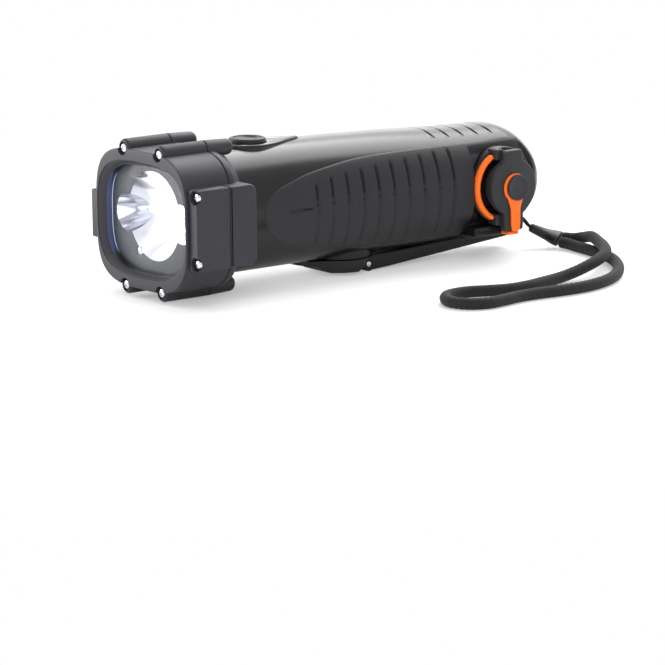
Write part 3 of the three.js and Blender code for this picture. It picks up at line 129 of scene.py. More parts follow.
class Finish:
    """One material: a Principled shader whose sockets take numbers, colours or fields."""

    def __init__(self, name, **sockets):
        self.material = bpy.data.materials.new(name)
        self.material.use_nodes = True
        self.tree = self.material.node_tree
        self.shader = self.tree.nodes["Principled BSDF"]
        self.set(**sockets)

    def join(self, socket, value):
        if isinstance(value, Field):
            self.tree.links.new(value.socket, socket)
        else:
            socket.default_value = value

    def set(self, **sockets):
        for name, value in sockets.items():
            self.join(self.shader.inputs[name.replace("_", " ")], value)

    def node(self, kind, settings=None, *values, output=0, **named):
        """Any node: its settings are set first, then its sockets in order or by name."""
        made = self.tree.nodes.new(kind)
        for key, value in (settings or {}).items():
            if key == "stops":
                for stop, (place, colour) in zip(self.grow(made.color_ramp, len(value)), value):
                    stop.position = place
                    stop.color = colour
            else:
                setattr(made, key, value)
        for socket, value in zip(made.inputs, values):
            self.join(socket, value)
        for key, value in named.items():
            self.join(made.inputs[key.replace("_", " ")], value)
        return Field(self, made.outputs[output])

    @staticmethod
    def grow(ramp, count):
        while len(ramp.elements) < count:
            ramp.elements.new(1.0)
        return ramp.elements

    def place(self, kind="Object"):
        made = self.tree.nodes.new("ShaderNodeTexCoord")
        return Field(self, made.outputs[kind])

    def noise(self, scale, detail=2.0, roughness=0.5, at=None):
        at = at or self.place()
        return self.node("ShaderNodeTexNoise", {}, Vector=at, Scale=scale, Detail=detail, Roughness=roughness)

    def between(self, share, first, second):
        """A colour from first to second as share goes from 0 to 1."""
        made = self.tree.nodes.new("ShaderNodeMix")
        made.data_type = "RGBA"
        for key, value in (("Factor_Float", share), ("A_Color", first), ("B_Color", second)):
            self.join(next(s for s in made.inputs if s.identifier == key), value)
        return Field(self, next(s for s in made.outputs if s.identifier == "Result_Color"))

    def ramp(self, value, low, high):
        """0 at low, 1 at high, and a smooth step between."""
        settings = {"interpolation_type": "SMOOTHSTEP"}
        return self.node("ShaderNodeMapRange", settings, Value=value, From_Min=low, From_Max=high)

    def axes(self):
        """The place on the object as three fields: across, along and up, in metres."""
        split = self.node("ShaderNodeSeparateXYZ", {}, self.place()).socket.node
        return [Field(self, socket) for socket in split.outputs]

    def relief(self, height, depth, strength=1.0):
        """Bump: height is a field from 0 to 1 and depth its rise in metres."""
        return self.node("ShaderNodeBump", {}, Strength=strength, Distance=depth, Height=height)


def tint(red, green, blue):
    """A colour from screen values of 0 to 255, as the linear light that a shader works in."""
    share = np.array([red, green, blue]) / 255.0
    linear = np.where(share <= 0.04045, share / 12.92, ((share + 0.055) / 1.055) ** 2.4)
    return (*linear.tolist(), 1.0)


# %% [markdown]
# Moulded plastic is never one flat colour. A steel tool leaves a fine spark-eroded grain on satin
# plastic, handling polishes it in soft patches, and dust settles as a faint veil. The grain is a
# small noise in the bump, the patches a large one in the roughness, and the veil a slight change
# of colour. The three black plastics and the rubbers differ only in how strong these are.


# %% Moulded finishes
def moulded(name, dark, light, rough, grain_size, grain_depth, patch=0.06, gloss=0.3, **sockets):
    """Colour from dark to light by a cloudy noise, roughness rough +- patch, bump of grain_size metres."""
    made = Finish(name, Specular_IOR_Level=gloss, **sockets)
    cloud = made.noise(45.0, detail=4.0)
    grain = made.noise(1.0 / grain_size, detail=3.0, roughness=0.6)
    made.set(
        Base_Color=made.between(cloud * 0.7 + grain * 0.3, dark, light),
        Roughness=rough - patch + cloud * (2 * patch),
        Normal=made.relief(grain, grain_depth),
    )
    return made.material


MOULDED = [
    # slot, name, darkest and lightest screen colour, roughness, grain's size and depth in metres, the rest
    ("head_plastic", "satin_head_plastic", (36, 35, 40), (48, 46, 52), 0.5, 0.0006, 0.00004, {}),
    ("barrel_plastic", "polished_barrel_plastic", (12, 12, 14), (20, 20, 22), 0.26, 0.004, 0.00002,
     {"patch": 0.03}),
    ("grip_rubber", "soft_grip_rubber", (20, 20, 23), (32, 31, 35), 0.5, 0.0005, 0.00006, {"gloss": 0.34}),
    ("soft_rubber", "black_rubber", (16, 16, 18), (24, 24, 26), 0.45, 0.0007, 0.00003, {}),
    ("cover_rubber", "port_cover_rubber", (34, 35, 38), (46, 46, 50), 0.5, 0.0007, 0.00003, {}),
    ("orange_rubber", "orange_elastomer", (250, 98, 18), (255, 122, 34), 0.4, 0.0009, 0.00003, {}),
    ("gloss_black", "polished_black", (8, 8, 10), (14, 14, 16), 0.12, 0.003, 0.00001,
     {"patch": 0.02, "gloss": 0.4}),
    ("crank_plastic", "crank_plastic", (16, 16, 18), (26, 25, 28), 0.36, 0.0006, 0.00003, {}),
    ("white_nylon", "white_nylon", (222, 219, 209), (238, 236, 228), 0.45, 0.0008, 0.00002, {}),
    ("cell_wrap", "blue_cell_wrap", (30, 72, 150), (44, 92, 176), 0.3, 0.002, 0.00002, {}),
]
finishes = {
    slot: moulded(name, tint(*dark), tint(*light), rough, size, depth, **rest)
    for slot, name, dark, light, rough, size, depth, rest in MOULDED
}
print("moulded finishes", len(finishes))

# %% [markdown]
# Metals reflect, so their look is in the roughness. Plated screws are nearly mirrors with a few fine
# scratches, sheet steel and aluminium are duller and streaked along their grain, and the reflector
# is a metallised bowl. The lamp is on in the photograph, and its light in the bowls is painted: a
# painted cold white glow over the middle and right bowls, and only a faint one in the left.


# %% Metals, lens, lamp and boards
def metal(name, dark, light, rough, streak, stretch):
    """A metal whose roughness and colour follow a noise stretched along its grain."""
    made = Finish(name, Metallic=1.0)
    grain_place = made.node("ShaderNodeMapping", {}, Vector=made.place(), Scale=stretch)
    grain = made.noise(900.0, detail=3.0, at=grain_place)
    made.set(
        Base_Color=made.between(grain, dark, light),
        Roughness=rough + grain * streak,
        Normal=made.relief(grain, 0.000004),
    )
    return made.material


METALS = [
    # slot, name, darkest and lightest screen colour, roughness, how far it varies, stretch of its grain
    ("bright_screw", "plated_screw", (200, 200, 204), (236, 236, 240), 0.12, 0.1, (1, 1, 1)),
    ("plain_steel", "plain_steel", (150, 151, 153), (190, 191, 193), 0.3, 0.15, (1, 1, 12)),
    ("bare_aluminium", "bare_aluminium", (176, 178, 182), (214, 215, 218), 0.34, 0.15, (8, 1, 1)),
    ("bush_brass", "turned_brass", (190, 150, 70), (222, 184, 104), 0.25, 0.12, (1, 1, 10)),
]
for slot, metal_name, dark, light, rough, streak, stretch in METALS:
    finishes[slot] = metal(metal_name, tint(*dark), tint(*light), rough, streak, stretch)


# Places in metres where a finish changes: the painted glow across the bowls, and the painted lamp light at the
# window's left and at its rear rim
PAINTED_GLOW_FROM, PAINTED_GLOW_TO = -0.0125, -0.0085
PAINTED_TINT_FROM, PAINTED_TINT_TO = -0.0205, -0.0232
RIM_FROM, RIM_TO = -0.0863, -0.0861


def reflector_painted_glow():
    """Chrome with a painted glow over the middle and right bowls, standing in for the lamp's light; a plain mirror
    in the left one.
    """
    made = Finish("reflector_painted_glow", Metallic=1.0, Emission_Strength=0.8)
    cloud = made.noise(160.0, detail=2.0)
    across, _, _ = made.axes()
    # Painted glow: emission that stands in for the lamp's light in the bowls, cold white over the middle and right
    # bowls and near black in the left one.
    glow = made.ramp(across, PAINTED_GLOW_FROM, PAINTED_GLOW_TO)
    white = made.between(cloud, tint(222, 222, 242), tint(255, 255, 255))
    made.set(
        Base_Color=made.between(cloud, tint(196, 198, 206), tint(244, 245, 250)),
        Roughness=0.08 + cloud * 0.06,
        Emission_Color=made.between(glow, tint(24, 24, 30), white),
    )
    return made.material


def rim_painted_lamp_light():
    """The rubber round the window: black, with painted lamp light: a painted navy tint on its left side and a
    painted glow on the rear rim there.
    """
    made = Finish("rim_painted_lamp_light", Roughness=0.35, Emission_Strength=1.0)
    across, along, _ = made.axes()
    # Painted lamp light: the navy base colour on the left side and the emission on its rear rim stand in for the
    # lamp's light on the black rubber.
    left = made.ramp(across, PAINTED_TINT_FROM, PAINTED_TINT_TO)
    rear = made.ramp(along, RIM_FROM, RIM_TO)
    haze = made.noise(90.0)
    navy = made.between(haze, tint(24, 32, 66), tint(44, 58, 104))
    made.set(
        Base_Color=made.between(left, tint(16, 16, 18), navy),
        Emission_Color=made.between(left * rear, tint(0, 0, 0), tint(196, 212, 244)),
    )
    return made.material


def lens_glass():
    """Clear plastic: mostly see-through, with its gloss kept by the alpha."""
    made = Finish("clear_lens", IOR=1.5, Roughness=0.03)
    haze = made.noise(60.0)
    made.set(
        Base_Color=made.between(haze, tint(225, 232, 250), tint(244, 247, 255)),
        Alpha=0.04 + haze * 0.02,
    )
    return made.material


def glowing_led():
    made = Finish("glowing_led", Roughness=0.2, Emission_Strength=6.0)
    warm = made.noise(500.0)
    made.set(
        Base_Color=made.between(warm, tint(240, 244, 255), tint(255, 255, 255)),
        Emission_Color=made.between(warm, tint(236, 242, 255), tint(255, 255, 255)),
    )
    return made.material


def circuit_board():
    """Green solder mask over fine copper tracks, which show as a grid of slightly raised lines."""
    made = Finish("circuit_board", Roughness=0.4)
    tracks = made.node("ShaderNodeTexBrick", {"offset": 0.5}, Vector=made.place(), Scale=400.0, output=1)
    made.set(
        Base_Color=made.between(tracks, tint(20, 84, 50), tint(34, 112, 68)),
        Normal=made.relief(tracks, 0.00003),
    )
    return made.material


def braided_cord():
    """Polyester strands: fine fibres across each strand, from the cord's own map (u round, v along), over painted
    shade that is dark in the crevices and light on the crowns.
    """
    made = Finish(
        "braided_polyester", Roughness=0.75, Specular_IOR_Level=0.25, Sheen_Weight=0.1, Sheen_Roughness=0.5,
    )
    at = made.node("ShaderNodeMapping", {}, Vector=made.place("UV"), Scale=(60.0, 900.0, 1.0))
    fibre = made.noise(1.0, detail=3.0, roughness=0.7, at=at)
    # Painted shade and highlight: the colour goes dark in the crevices and light on the crowns of the strands, by
    # the ridge share.
    ridge = made.node("ShaderNodeAttribute", {"attribute_name": "ridge"}, output=2)
    made.set(
        Base_Color=made.between(ridge ** 2.0 * (0.5 + fibre), tint(2, 2, 3), tint(40, 40, 43)),
        Normal=made.relief(fibre, 0.0001),
    )
    return made.material


finishes |= {
    "reflector_chrome": reflector_painted_glow(), "lens_rim": rim_painted_lamp_light(), "clear_lens": lens_glass(),
    "led_dome": glowing_led(), "circuit_board": circuit_board(), "braided_cord": braided_cord(),
}

slots = {row["node"]: row["material_slot"] for row in frame["record"]["subparts"]}
for node_name, node in frame["nodes"].items():
    node.data.materials.clear()
    node.data.materials.append(finishes[slots[node_name]])
print("finishes", len(finishes), "on", len(slots), "nodes")

# %% [markdown]
# Every new surface is a grid of points worked out with numpy. A grid whose rows are closed rings
# covers most of a torch: a lathe turns a profile, a loft joins outlines, and a tube follows a line.
# skin makes the mesh from such rings and closes it, dress gives it its body and its slot's finish, and
# a seam sharper than the given angle stays crisp.


# %% Rings to meshes
def skin(name, rings, loop=False, flat_ends=False, crisp=35.0):
    """A closed mesh over rings[n, m, 3] in drawn mm.

    Each end gets a fan of triangles or one flat face, or loop joins the last ring to the first."""
    count, around = rings.shape[:2]
    index = np.arange(count * around).reshape(count, around)
    beside = np.roll(index, -1, axis=1)
    after = np.roll(index, -1, axis=0) if loop else index[1:]
    after_beside = np.roll(beside, -1, axis=0) if loop else beside[1:]
    rows = count if loop else count - 1
    faces = np.stack([index[:rows], beside[:rows], after_beside, after], axis=-1).reshape(-1, 4).tolist()
    points = rings.reshape(-1, 3)
    if flat_ends:
        faces += [index[0].tolist()[::-1], index[-1].tolist()]
    elif not loop:
        hubs = np.stack([rings[0].mean(axis=0), rings[-1].mean(axis=0)])
        points = np.concatenate([points, hubs])
        first = np.stack([beside[0], index[0], np.full(around, count * around)], axis=-1)
        last = np.stack([index[-1], beside[-1], np.full(around, count * around + 1)], axis=-1)
        faces += first.tolist() + last.tolist()
    return body_of_faces(name, points, faces, crisp)


def body_of_faces(name, points, faces, crisp=35.0):
    """A mesh object from drawn points and faces, its faces turned outwards by the sign of its volume."""
    mesh = bpy.data.meshes.new(name)
    mesh.from_pydata(to_row(points).tolist(), [], faces)
    mesh.update()
    mesh.calc_loop_triangles()
    corners = np.empty(len(mesh.loop_triangles) * 3, dtype=np.int32)
    mesh.loop_triangles.foreach_get("vertices", corners)
    a, b, c = to_row(points)[corners].reshape(-1, 3, 3).transpose(1, 0, 2)
    if np.einsum("ij,ij->i", a, np.cross(b, c)).sum() < 0:
        mesh.flip_normals()
    mesh.shade_smooth()
    mesh.set_sharp_from_angle(angle=math.radians(crisp))
    made = bpy.data.objects.new(name, mesh)
    bpy.context.scene.collection.objects.link(made)
    return made


def dress(piece, body, slot, *replaced):
    """The piece rides on a body, takes a slot's finish and stands for the nodes named."""
    piece.data.materials.clear()
    piece.data.materials.append(finishes[slot])
    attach(piece, body)
    if replaced:
        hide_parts(*replaced)
    return piece


def lathe(profile, axis, centre, around=64):
    """Rings of a profile [radius, height] turned round an axis through centre."""
    radius, height = np.asarray(profile, float).T[:, :, None]
    turn = steps(0, 2 * math.pi, around + 1)[:-1]
    one, two = radius * np.cos(turn), radius * np.sin(turn)
    along = np.broadcast_to(height, one.shape)
    order = {"x": (along, one, two), "y": (one, along, two), "z": (one, two, along)}[axis]
    return np.stack(order, axis=-1) + np.asarray(centre, float)


def round_corner(centre, radius, start, end, count=6):
    """Points [u, v] of an arc round centre, angles in degrees."""
    turn = np.radians(steps(start, end, count))
    return np.stack([centre[0] + radius * np.cos(turn), centre[1] + radius * np.sin(turn)], axis=-1)


# %% [markdown]
# The strap lies on the ground in one long loop, so it comes next. Its cord is a braid: two families of
# strands wind round it in opposite directions, and each passes over one and under the next. A plain
# tube with a woven picture would look flat where the light grazes it. Here the tube's own radius
# rises and falls with the strands, so the braid catches light and casts its own small shadows.

# %% Strap routes
STRING_ROUTE = [
    (12.9, 182.2, -23.0), (12.3, 180.8, -21.2), (11.8, 179.0, -18.9), (11.9, 176.6, -17.3),
    (12.0, 173.4, -17.0), (12.0, 170.0, -17.0), (11.3, 168.3, -17.0), (9.6, 167.6, -17.0),
    (7.9, 168.3, -17.0), (7.2, 170.0, -17.0), (7.6, 173.4, -17.0), (8.8, 176.6, -17.3),
    (10.0, 179.0, -18.9), (10.8, 180.8, -21.2), (11.5, 182.5, -23.0),
]
SLEEVE_ROUTE = [(12.3, 181.4, -22.3), (15.8, 187.2, -25.5), (20.4, 190.4, -27.2)]
CORD_ROUTE = [
    (19.9, 192.8, -26.9), (23.8, 194.4, -26.9), (30.4, 194.4, -25.5), (38.7, 191.3, -23.8),
    (48.5, 186.4, -23.9), (58.0, 180.8, -23.8), (66.3, 174.6, -23.8), (72.8, 167.0, -24.2),
    (76.3, 158.6, -25.4), (77.2, 150.0, -27.2), (77.9, 141.5, -28.4), (80.0, 131.5, -28.6),
    (82.2, 121.5, -28.6), (82.3, 112.0, -28.6), (79.2, 103.5, -28.6), (76.2, 96.6, -28.6),
    (76.3, 89.0, -28.6), (79.6, 83.3, -28.6), (87.4, 79.6, -28.6), (94.3, 81.9, -28.6),
    (98.0, 88.4, -28.6), (97.4, 97.0, -28.6), (95.8, 106.0, -28.6), (96.0, 116.2, -28.6),
    (97.2, 126.0, -28.6), (97.2, 137.3, -28.6), (94.4, 148.6, -28.6), (88.2, 160.0, -28.6),
    (78.6, 170.4, -28.6), (67.4, 179.0, -28.6), (56.5, 184.6, -28.6), (47.0, 187.2, -28.6),
    (38.2, 188.8, -28.6), (30.6, 189.9, -28.6), (25.8, 189.9, -28.3), (22.6, 188.9, -28.0),
]


def smooth_line(route, per_span):
    """A centripetal Catmull-Rom curve through the route, per_span points for each of its spans."""
    knots = np.asarray(route, float)
    knots = np.concatenate([[2 * knots[0] - knots[1]], knots, [2 * knots[-1] - knots[-2]]])
    before, start, end, after = knots[:-3], knots[1:-2], knots[2:-1], knots[3:]
    chords = (start - before, end - start, after - end)
    one, two, three = (np.sqrt(np.linalg.norm(chord, axis=1))[:, None] for chord in chords)
    leave = (chords[0] / one - (end - before) / (one + two) + chords[1] / two) * two
    reach = (chords[1] / two - (after - start) / (two + three) + chords[2] / three) * two
    t = steps(0, 1, per_span + 1)[:-1][None, :, None]
    a, b, m, n = (v[:, None, :] for v in (start, end, leave, reach))
    line = (2 * t**3 - 3 * t**2 + 1) * a + (t**3 - 2 * t**2 + t) * m
    line = line + (3 * t**2 - 2 * t**3) * b + (t**3 - t**2) * n
    return np.concatenate([line.reshape(-1, 3), knots[-2:-1]])


def even_line(line, spacing):
    """The same line with points an even spacing apart, and its length."""
    run = np.concatenate([[0.0], np.cumsum(np.linalg.norm(np.diff(line, axis=0), axis=1))])
    places = steps(0, run[-1], int(round(run[-1] / spacing)) + 1)
    return np.stack([np.interp(places, run, line[:, k]) for k in range(3)], axis=-1), float(run[-1])


def unit(vectors):
    return vectors / np.linalg.norm(vectors, axis=-1, keepdims=True)


def tube_rings(line, radius):
    """Rings round a line that is never vertical, with a radius for each point and angle [n, m].

    Each ring lies across the line, between the level vector and the one square to it."""
    along = unit(np.gradient(line, axis=0))
    side = unit(np.cross(along, [0.0, 0.0, 1.0]))
    tall = np.cross(side, along)
    around = radius.shape[1]
    turn = steps(0, 2 * math.pi, around + 1)[:-1]
    spoke = side[:, None] * np.cos(turn)[:, None] + tall[:, None] * np.sin(turn)[:, None]
    return line[:, None, :] + spoke * radius[:, :, None]


# %% Braided cord, string and sleeve
CORD_RADIUS, STRING_RADIUS = 2.3, 0.5
STRANDS, STRAND_PITCH, STRAND_DEPTH = 8, 9.5, 0.5


def braid_radius(run, around):
    """Radius of a braid: two families of strands, each over one and under the next.

    Each family's height is a rounded ridge across its strands, and which family is on top
    alternates like a chessboard in the two strand numbers."""
    turn = steps(0, 1, around + 1)[:-1][None, :] * STRANDS
    along = run[:, None] / STRAND_PITCH * STRANDS
    one, two = turn + along, turn - along
    ridge_one = np.abs(np.sin(math.pi * one)) ** 0.7
    ridge_two = np.abs(np.sin(math.pi * two)) ** 0.7
    over = np.sin(math.pi * (one + two) / 2 + math.pi / 4) * np.sin(math.pi * (one - two) / 2 + math.pi / 4)
    share = 0.5 + 0.5 * np.tanh(3.0 * over)
    height = np.maximum(ridge_one * (0.55 + 0.45 * share), ridge_two * (1.0 - 0.45 * share))
    return CORD_RADIUS - STRAND_DEPTH * (1.0 - height)


def map_tube(piece, count, around, length):
    """A map on the tube: u goes once round it and v runs along it in metres."""
    layer = piece.data.uv_layers.new(name="along")
    corners = np.empty(len(piece.data.loops), dtype=np.int32)
    piece.data.loops.foreach_get("vertex_index", corners)
    row, column = np.minimum(corners // around, count - 1), corners % around
    pairs = np.stack([column / around, row / (count - 1) * length * 0.001], axis=-1)
    layer.data.foreach_set("uv", pairs.astype(np.float32).ravel())


def map_ridges(piece, depth, radius, deepest):
    """An attribute from 0 in the crevices to 1 on the crowns, worked out from each point's radius; the cord's
    colour uses it to paint shade into the crevices and highlight onto the crowns.
    """
    layer = piece.data.attributes.new("ridge", "FLOAT", "POINT")
    share = 1 - (radius - depth) / deepest
    layer.data.foreach_set("value", np.concatenate([share.ravel(), [0.0, 0.0]]).astype(np.float32))


cord_line, cord_length = even_line(smooth_line(CORD_ROUTE, 40), 0.3)
CORD_AROUND = 48
cord_run = steps(0, cord_length, len(cord_line))
cord_radius = braid_radius(cord_run, CORD_AROUND)
cord = skin("wrist_cord", tube_rings(cord_line, cord_radius), crisp=180.0)
map_tube(cord, len(cord_line), CORD_AROUND, cord_length)
map_ridges(cord, cord_radius, CORD_RADIUS, STRAND_DEPTH)
dress(cord, "root", "braided_cord", "strap_cord")

string_line, string_length = even_line(smooth_line(STRING_ROUTE, 12), 0.4)
STRING_AROUND, TWIST_PITCH, TWIST_DEPTH = 16, 1.6, 0.08
twist = steps(0, string_length, len(string_line))[:, None] / TWIST_PITCH
twist = twist + steps(0, 1, STRING_AROUND + 1)[:-1][None, :]
string_radius = STRING_RADIUS - TWIST_DEPTH * np.abs(np.sin(2 * math.pi * twist))
string = skin("strap_twine", tube_rings(string_line, string_radius), crisp=180.0)
map_tube(string, len(string_line), STRING_AROUND, string_length)
map_ridges(string, string_radius, STRING_RADIUS, TWIST_DEPTH)
dress(string, "root", "braided_cord", "strap_string")


def sleeve_rings():
    """The shrunk sleeve: ovals along its line, from round over the string to wide over both cord ends.

    Half widths follow a smooth step, and the tube necks in slightly past each end of the fold."""
    line, _ = even_line(smooth_line(SLEEVE_ROUTE, 24), 0.35)
    share = steps(0, 1, len(line))
    ease = share * share * (3 - 2 * share)
    wide = 1.7 + 3.1 * ease + 0.16 * np.sin(2.5 * math.pi * share)
    tall = 1.7 + 0.8 * ease + 0.08 * np.sin(2.5 * math.pi * share + 0.6)
    rim = np.minimum(1.0, np.minimum(share, 1 - share) / 0.05)
    shrink = 0.82 + 0.18 * np.sqrt(1 - (1 - rim) ** 2)
    along = np.gradient(line, axis=0)
    across = np.asarray(CORD_ROUTE[-1]) - np.asarray(CORD_ROUTE[0])
    tall_way = unit(np.cross(across, along))
    wide_way = unit(np.cross(along, tall_way))
    turn = steps(0, 2 * math.pi, 41)[:-1][None, :, None]
    spoke = (wide_way[:, None] * np.cos(turn) * (wide * shrink)[:, None, None]
             + tall_way[:, None] * np.sin(turn) * (tall * shrink)[:, None, None])
    return line[:, None, :] + spoke


sleeve = dress(skin("shrunk_sleeve", sleeve_rings(), crisp=60.0), "root", "soft_rubber", "strap_sleeve")
print("cord", round(cord_length, 1), "mm, string", round(string_length, 1), "mm")

# %% [markdown]
# The floor is a large pale plane and the walls are the world's own white, as in a product studio. The
# camera sees both as white, gloss and glass see the white world too, and everything else gets a
# softer light, so that the floor keeps the torch's shadow.

# %% Floor, world and lamps
FLOOR_HALF = 3.0
SHADOW_NEAR, SHADOW_FAR, SHADOW_LIFT, SOFT_LIGHT = 0.14, 0.4, 0.35, 0.4
LAMPS = [
    # name, place, width and height, watts, the point it faces, whether gloss shows it
    ("overhead_box", (0.0, 0.1, 1.0), (2.0, 2.0), 8.0, (0.0, 0.0, 0.03), False),
    ("right_fill", (1.1, -0.8, 0.75), (1.0, 1.0), 12.0, (0.0, 0.0, 0.03), False),
    ("front_left_key", (-0.85, -0.8, 0.3), (0.8, 0.6), 13.0, (0.0, -0.08, 0.03), True),
    ("back_softbox", (-0.27, 0.72, 0.92), (1.0, 0.55), 12.0, (0.0, 0.0, 0.04), True),
    ("low_back_glow", (-0.95, 0.85, 0.5), (1.6, 0.9), 6.0, (0.0, 0.0, 0.05), True),
]

floor_mesh = bpy.data.meshes.new("studio_floor")
floor_mesh.from_pydata([
    (-FLOOR_HALF, -FLOOR_HALF, 0.0), (FLOOR_HALF, -FLOOR_HALF, 0.0),
    (FLOOR_HALF, FLOOR_HALF, 0.0), (-FLOOR_HALF, FLOOR_HALF, 0.0),
], [], [(0, 1, 2, 3)])
floor = bpy.data.objects.new("studio_floor", floor_mesh)
bpy.context.scene.collection.objects.link(floor)
paper = Finish("floor_paper", Roughness=0.9, Specular_IOR_Level=0.0)
paper_grain = paper.noise(3.0, detail=2.0)
paper.set(Base_Color=paper.between(paper_grain, (0.955, 0.955, 0.96, 1.0), (0.97, 0.97, 0.972, 1.0)))
far_off = paper.node("ShaderNodeVectorMath", {"operation": "LENGTH"}, paper.place(), output=1)
lifted = paper.ramp(far_off, SHADOW_NEAR, SHADOW_FAR) * (1 - SHADOW_LIFT) + SHADOW_LIFT
by_camera = paper.node("ShaderNodeLightPath")
white_card = paper.node("ShaderNodeEmission")
shaded = Field(paper, paper.shader.outputs[0])
lit_paper = paper.node("ShaderNodeMixShader", {}, lifted * by_camera, shaded, white_card)
paper.tree.links.new(lit_paper.socket, paper.tree.nodes["Material Output"].inputs["Surface"])
floor_mesh.materials.append(paper.material)

world = bpy.data.worlds.new("white_studio")
bpy.context.scene.world = world
world.use_nodes = True
sky = world.node_tree
rays = sky.nodes.new("ShaderNodeLightPath")
seen = rays.outputs["Is Camera Ray"]
for ray in ("Is Glossy Ray", "Is Transmission Ray"):
    either = sky.nodes.new("ShaderNodeMath")
    either.operation = "MAXIMUM"
    sky.links.new(seen, either.inputs[0])
    sky.links.new(rays.outputs[ray], either.inputs[1])
    seen = either.outputs[0]
level_of_light = sky.nodes.new("ShaderNodeMapRange")
level_of_light.inputs["To Min"].default_value = SOFT_LIGHT
level_of_light.inputs["To Max"].default_value = 1.0
sky.links.new(seen, level_of_light.inputs["Value"])
sky.links.new(level_of_light.outputs["Result"], sky.nodes["Background"].inputs["Strength"])
sky.nodes["Background"].inputs["Color"].default_value = (1.0, 1.0, 1.0, 1.0)

for lamp_name, lamp_place, (lamp_wide, lamp_deep), watts, aim, in_reflections in LAMPS:
    lamp_data = bpy.data.lights.new(lamp_name, "AREA")
    lamp_data.shape = "RECTANGLE"
    lamp_data.size, lamp_data.size_y = lamp_wide, lamp_deep
    lamp_data.energy = watts
    lamp = bpy.data.objects.new(lamp_name, lamp_data)
    lamp.location = lamp_place
    lamp.visible_camera, lamp.visible_glossy = False, in_reflections
    away = Matrix.Translation(lamp_place).translation - Matrix.Translation(aim).translation
    lamp.rotation_euler = away.to_track_quat("Z", "Y").to_euler()
    bpy.context.scene.collection.objects.link(lamp)
bpy.context.scene.view_settings.view_transform = "Standard"
print("lamps", [row[0] for row in LAMPS])

# %% [markdown]
# The barrel is a superellipse, a rounded oval between an ellipse and a rectangle, that is drawn along
# the axis and closes in two rounded corners at the rear. It could be modelled from a cylinder by
# hand, but the formula that made the solid also gives every point of a much finer grid, so
# the dressed barrel fits its solid exactly.

# %% Barrel skin
BARREL_HALF_WIDTH, BARREL_HALF_HEIGHT, BARREL_CENTRE, BARREL_POWER = 22.5, 23.2, -1.2, 2.25
BARREL_FRONT, BARREL_REAR, PLAN_CORNER, END_CORNER = 21.4, 181.0, 8.0, 15.0
RISE_START, RISE = 125.0, 2.0
PORT_Y, PORT_Z = 158.9, -1.5
CROWN, CROWN_FROM, CROWN_TO = 1.0, 60.0, 150.0
DROOP, DROOP_FROM, DROOP_TO = 0.8, 105.0, 172.0


def crown(y):
    """The barrel's top is a little higher behind the head and lower at the rear: half of that, in mm."""
    return CROWN * (1 - soft_step(y, CROWN_FROM, CROWN_TO)) - DROOP * soft_step(y, DROOP_FROM, DROOP_TO)


def barrel_section(y):
    """Half width, half height and centre of the barrel at y, with quarter-circle ends."""
    def rounding(corner):
        reach = np.clip((y - (BARREL_REAR - corner)) / corner, 0, 1)
        return corner * (1 - np.sqrt(1 - reach**2))
    lift = RISE * np.clip((y - RISE_START) / (BARREL_REAR - RISE_START), 0, 1)
    tall = BARREL_HALF_HEIGHT + crown(y) - lift / 2 - rounding(END_CORNER)
    return BARREL_HALF_WIDTH - rounding(PLAN_CORNER), tall, BARREL_CENTRE + crown(y) + lift / 2


def barrel_points(turn, y, inset=0.0):
    """The skin at angle turn and length y: cosine and sine bent by the power 2 / 2.25."""
    wide, tall, centre = barrel_section(y)
    bend = lambda value: np.sign(value) * np.abs(value) ** (2 / BARREL_POWER)
    x, z = (wide - inset) * bend(np.cos(turn)), centre + (tall - inset) * bend(np.sin(turn))
    return np.stack(np.broadcast_arrays(x, y, z), axis=-1)


def outward(points):
    """Unit normals of a grid of points, from the cross product of its two directions."""
    normal = np.cross(np.gradient(points, axis=0), np.gradient(points, axis=1))
    return normal / np.maximum(np.linalg.norm(normal, axis=-1, keepdims=True), 1e-9)


def soft_step(value, low, high):
    """0 below low, 1 above high, and a smooth cubic between."""
    share = np.clip((value - low) / (high - low), 0, 1)
    return share * share * (3 - 2 * share)


# %% [markdown]
# The grips have their own outline on each side. The same shares of length and height as in the solid
# give a smooth closed curve, and the distance to that curve says where the panel's parting groove
# runs and where the barrel drops away underneath it.

# %% Grip outline
GRIP_FRONT, GRIP_REAR = 42.0, 176.0
GRIP_UPPER = [
    (0.000, 0.06), (0.019, 0.23), (0.052, 0.34), (0.098, 0.42), (0.180, 0.53),
    (0.338, 0.65), (0.508, 0.70), (0.785, 0.745), (0.935, 0.775), (0.978, 0.70),
]
GRIP_LOWER = [
    (1.000, 0.30), (1.000, -0.40), (0.965, -0.74), (0.850, -0.86), (0.715, -0.90), (0.431, -0.836),
    (0.223, -0.763), (0.095, -0.603), (0.022, -0.375), (0.000, -0.16),
]


def closed_curve(knots, per_span):
    """A uniform Catmull-Rom curve through knots, closed."""
    knots = np.asarray(knots, float)
    before, after, beyond = np.roll(knots, 1, 0), np.roll(knots, -1, 0), np.roll(knots, -2, 0)
    t = steps(0, 1, per_span + 1)[:-1][None, :, None]
    p0, p1, p2, p3 = (v[:, None, :] for v in (before, knots, after, beyond))
    line = 2 * p1 + (p2 - p0) * t + (2 * p0 - 5 * p1 + 4 * p2 - p3) * t**2 + (3 * p1 - p0 - 3 * p2 + p3) * t**3
    return 0.5 * line.reshape(-1, 2)


grip_knots = np.array(GRIP_UPPER + GRIP_LOWER) * (GRIP_REAR - GRIP_FRONT, BARREL_HALF_HEIGHT) + (GRIP_FRONT, 0)
grip_knots[:, 1] += crown(grip_knots[:, 0]) * (1 + grip_knots[:, 1] / BARREL_HALF_HEIGHT)
grip_line = closed_curve(grip_knots, 16)
front_tip, rear_tip = int(np.argmin(grip_line[:, 0])), int(np.argmax(grip_line[:, 0]))


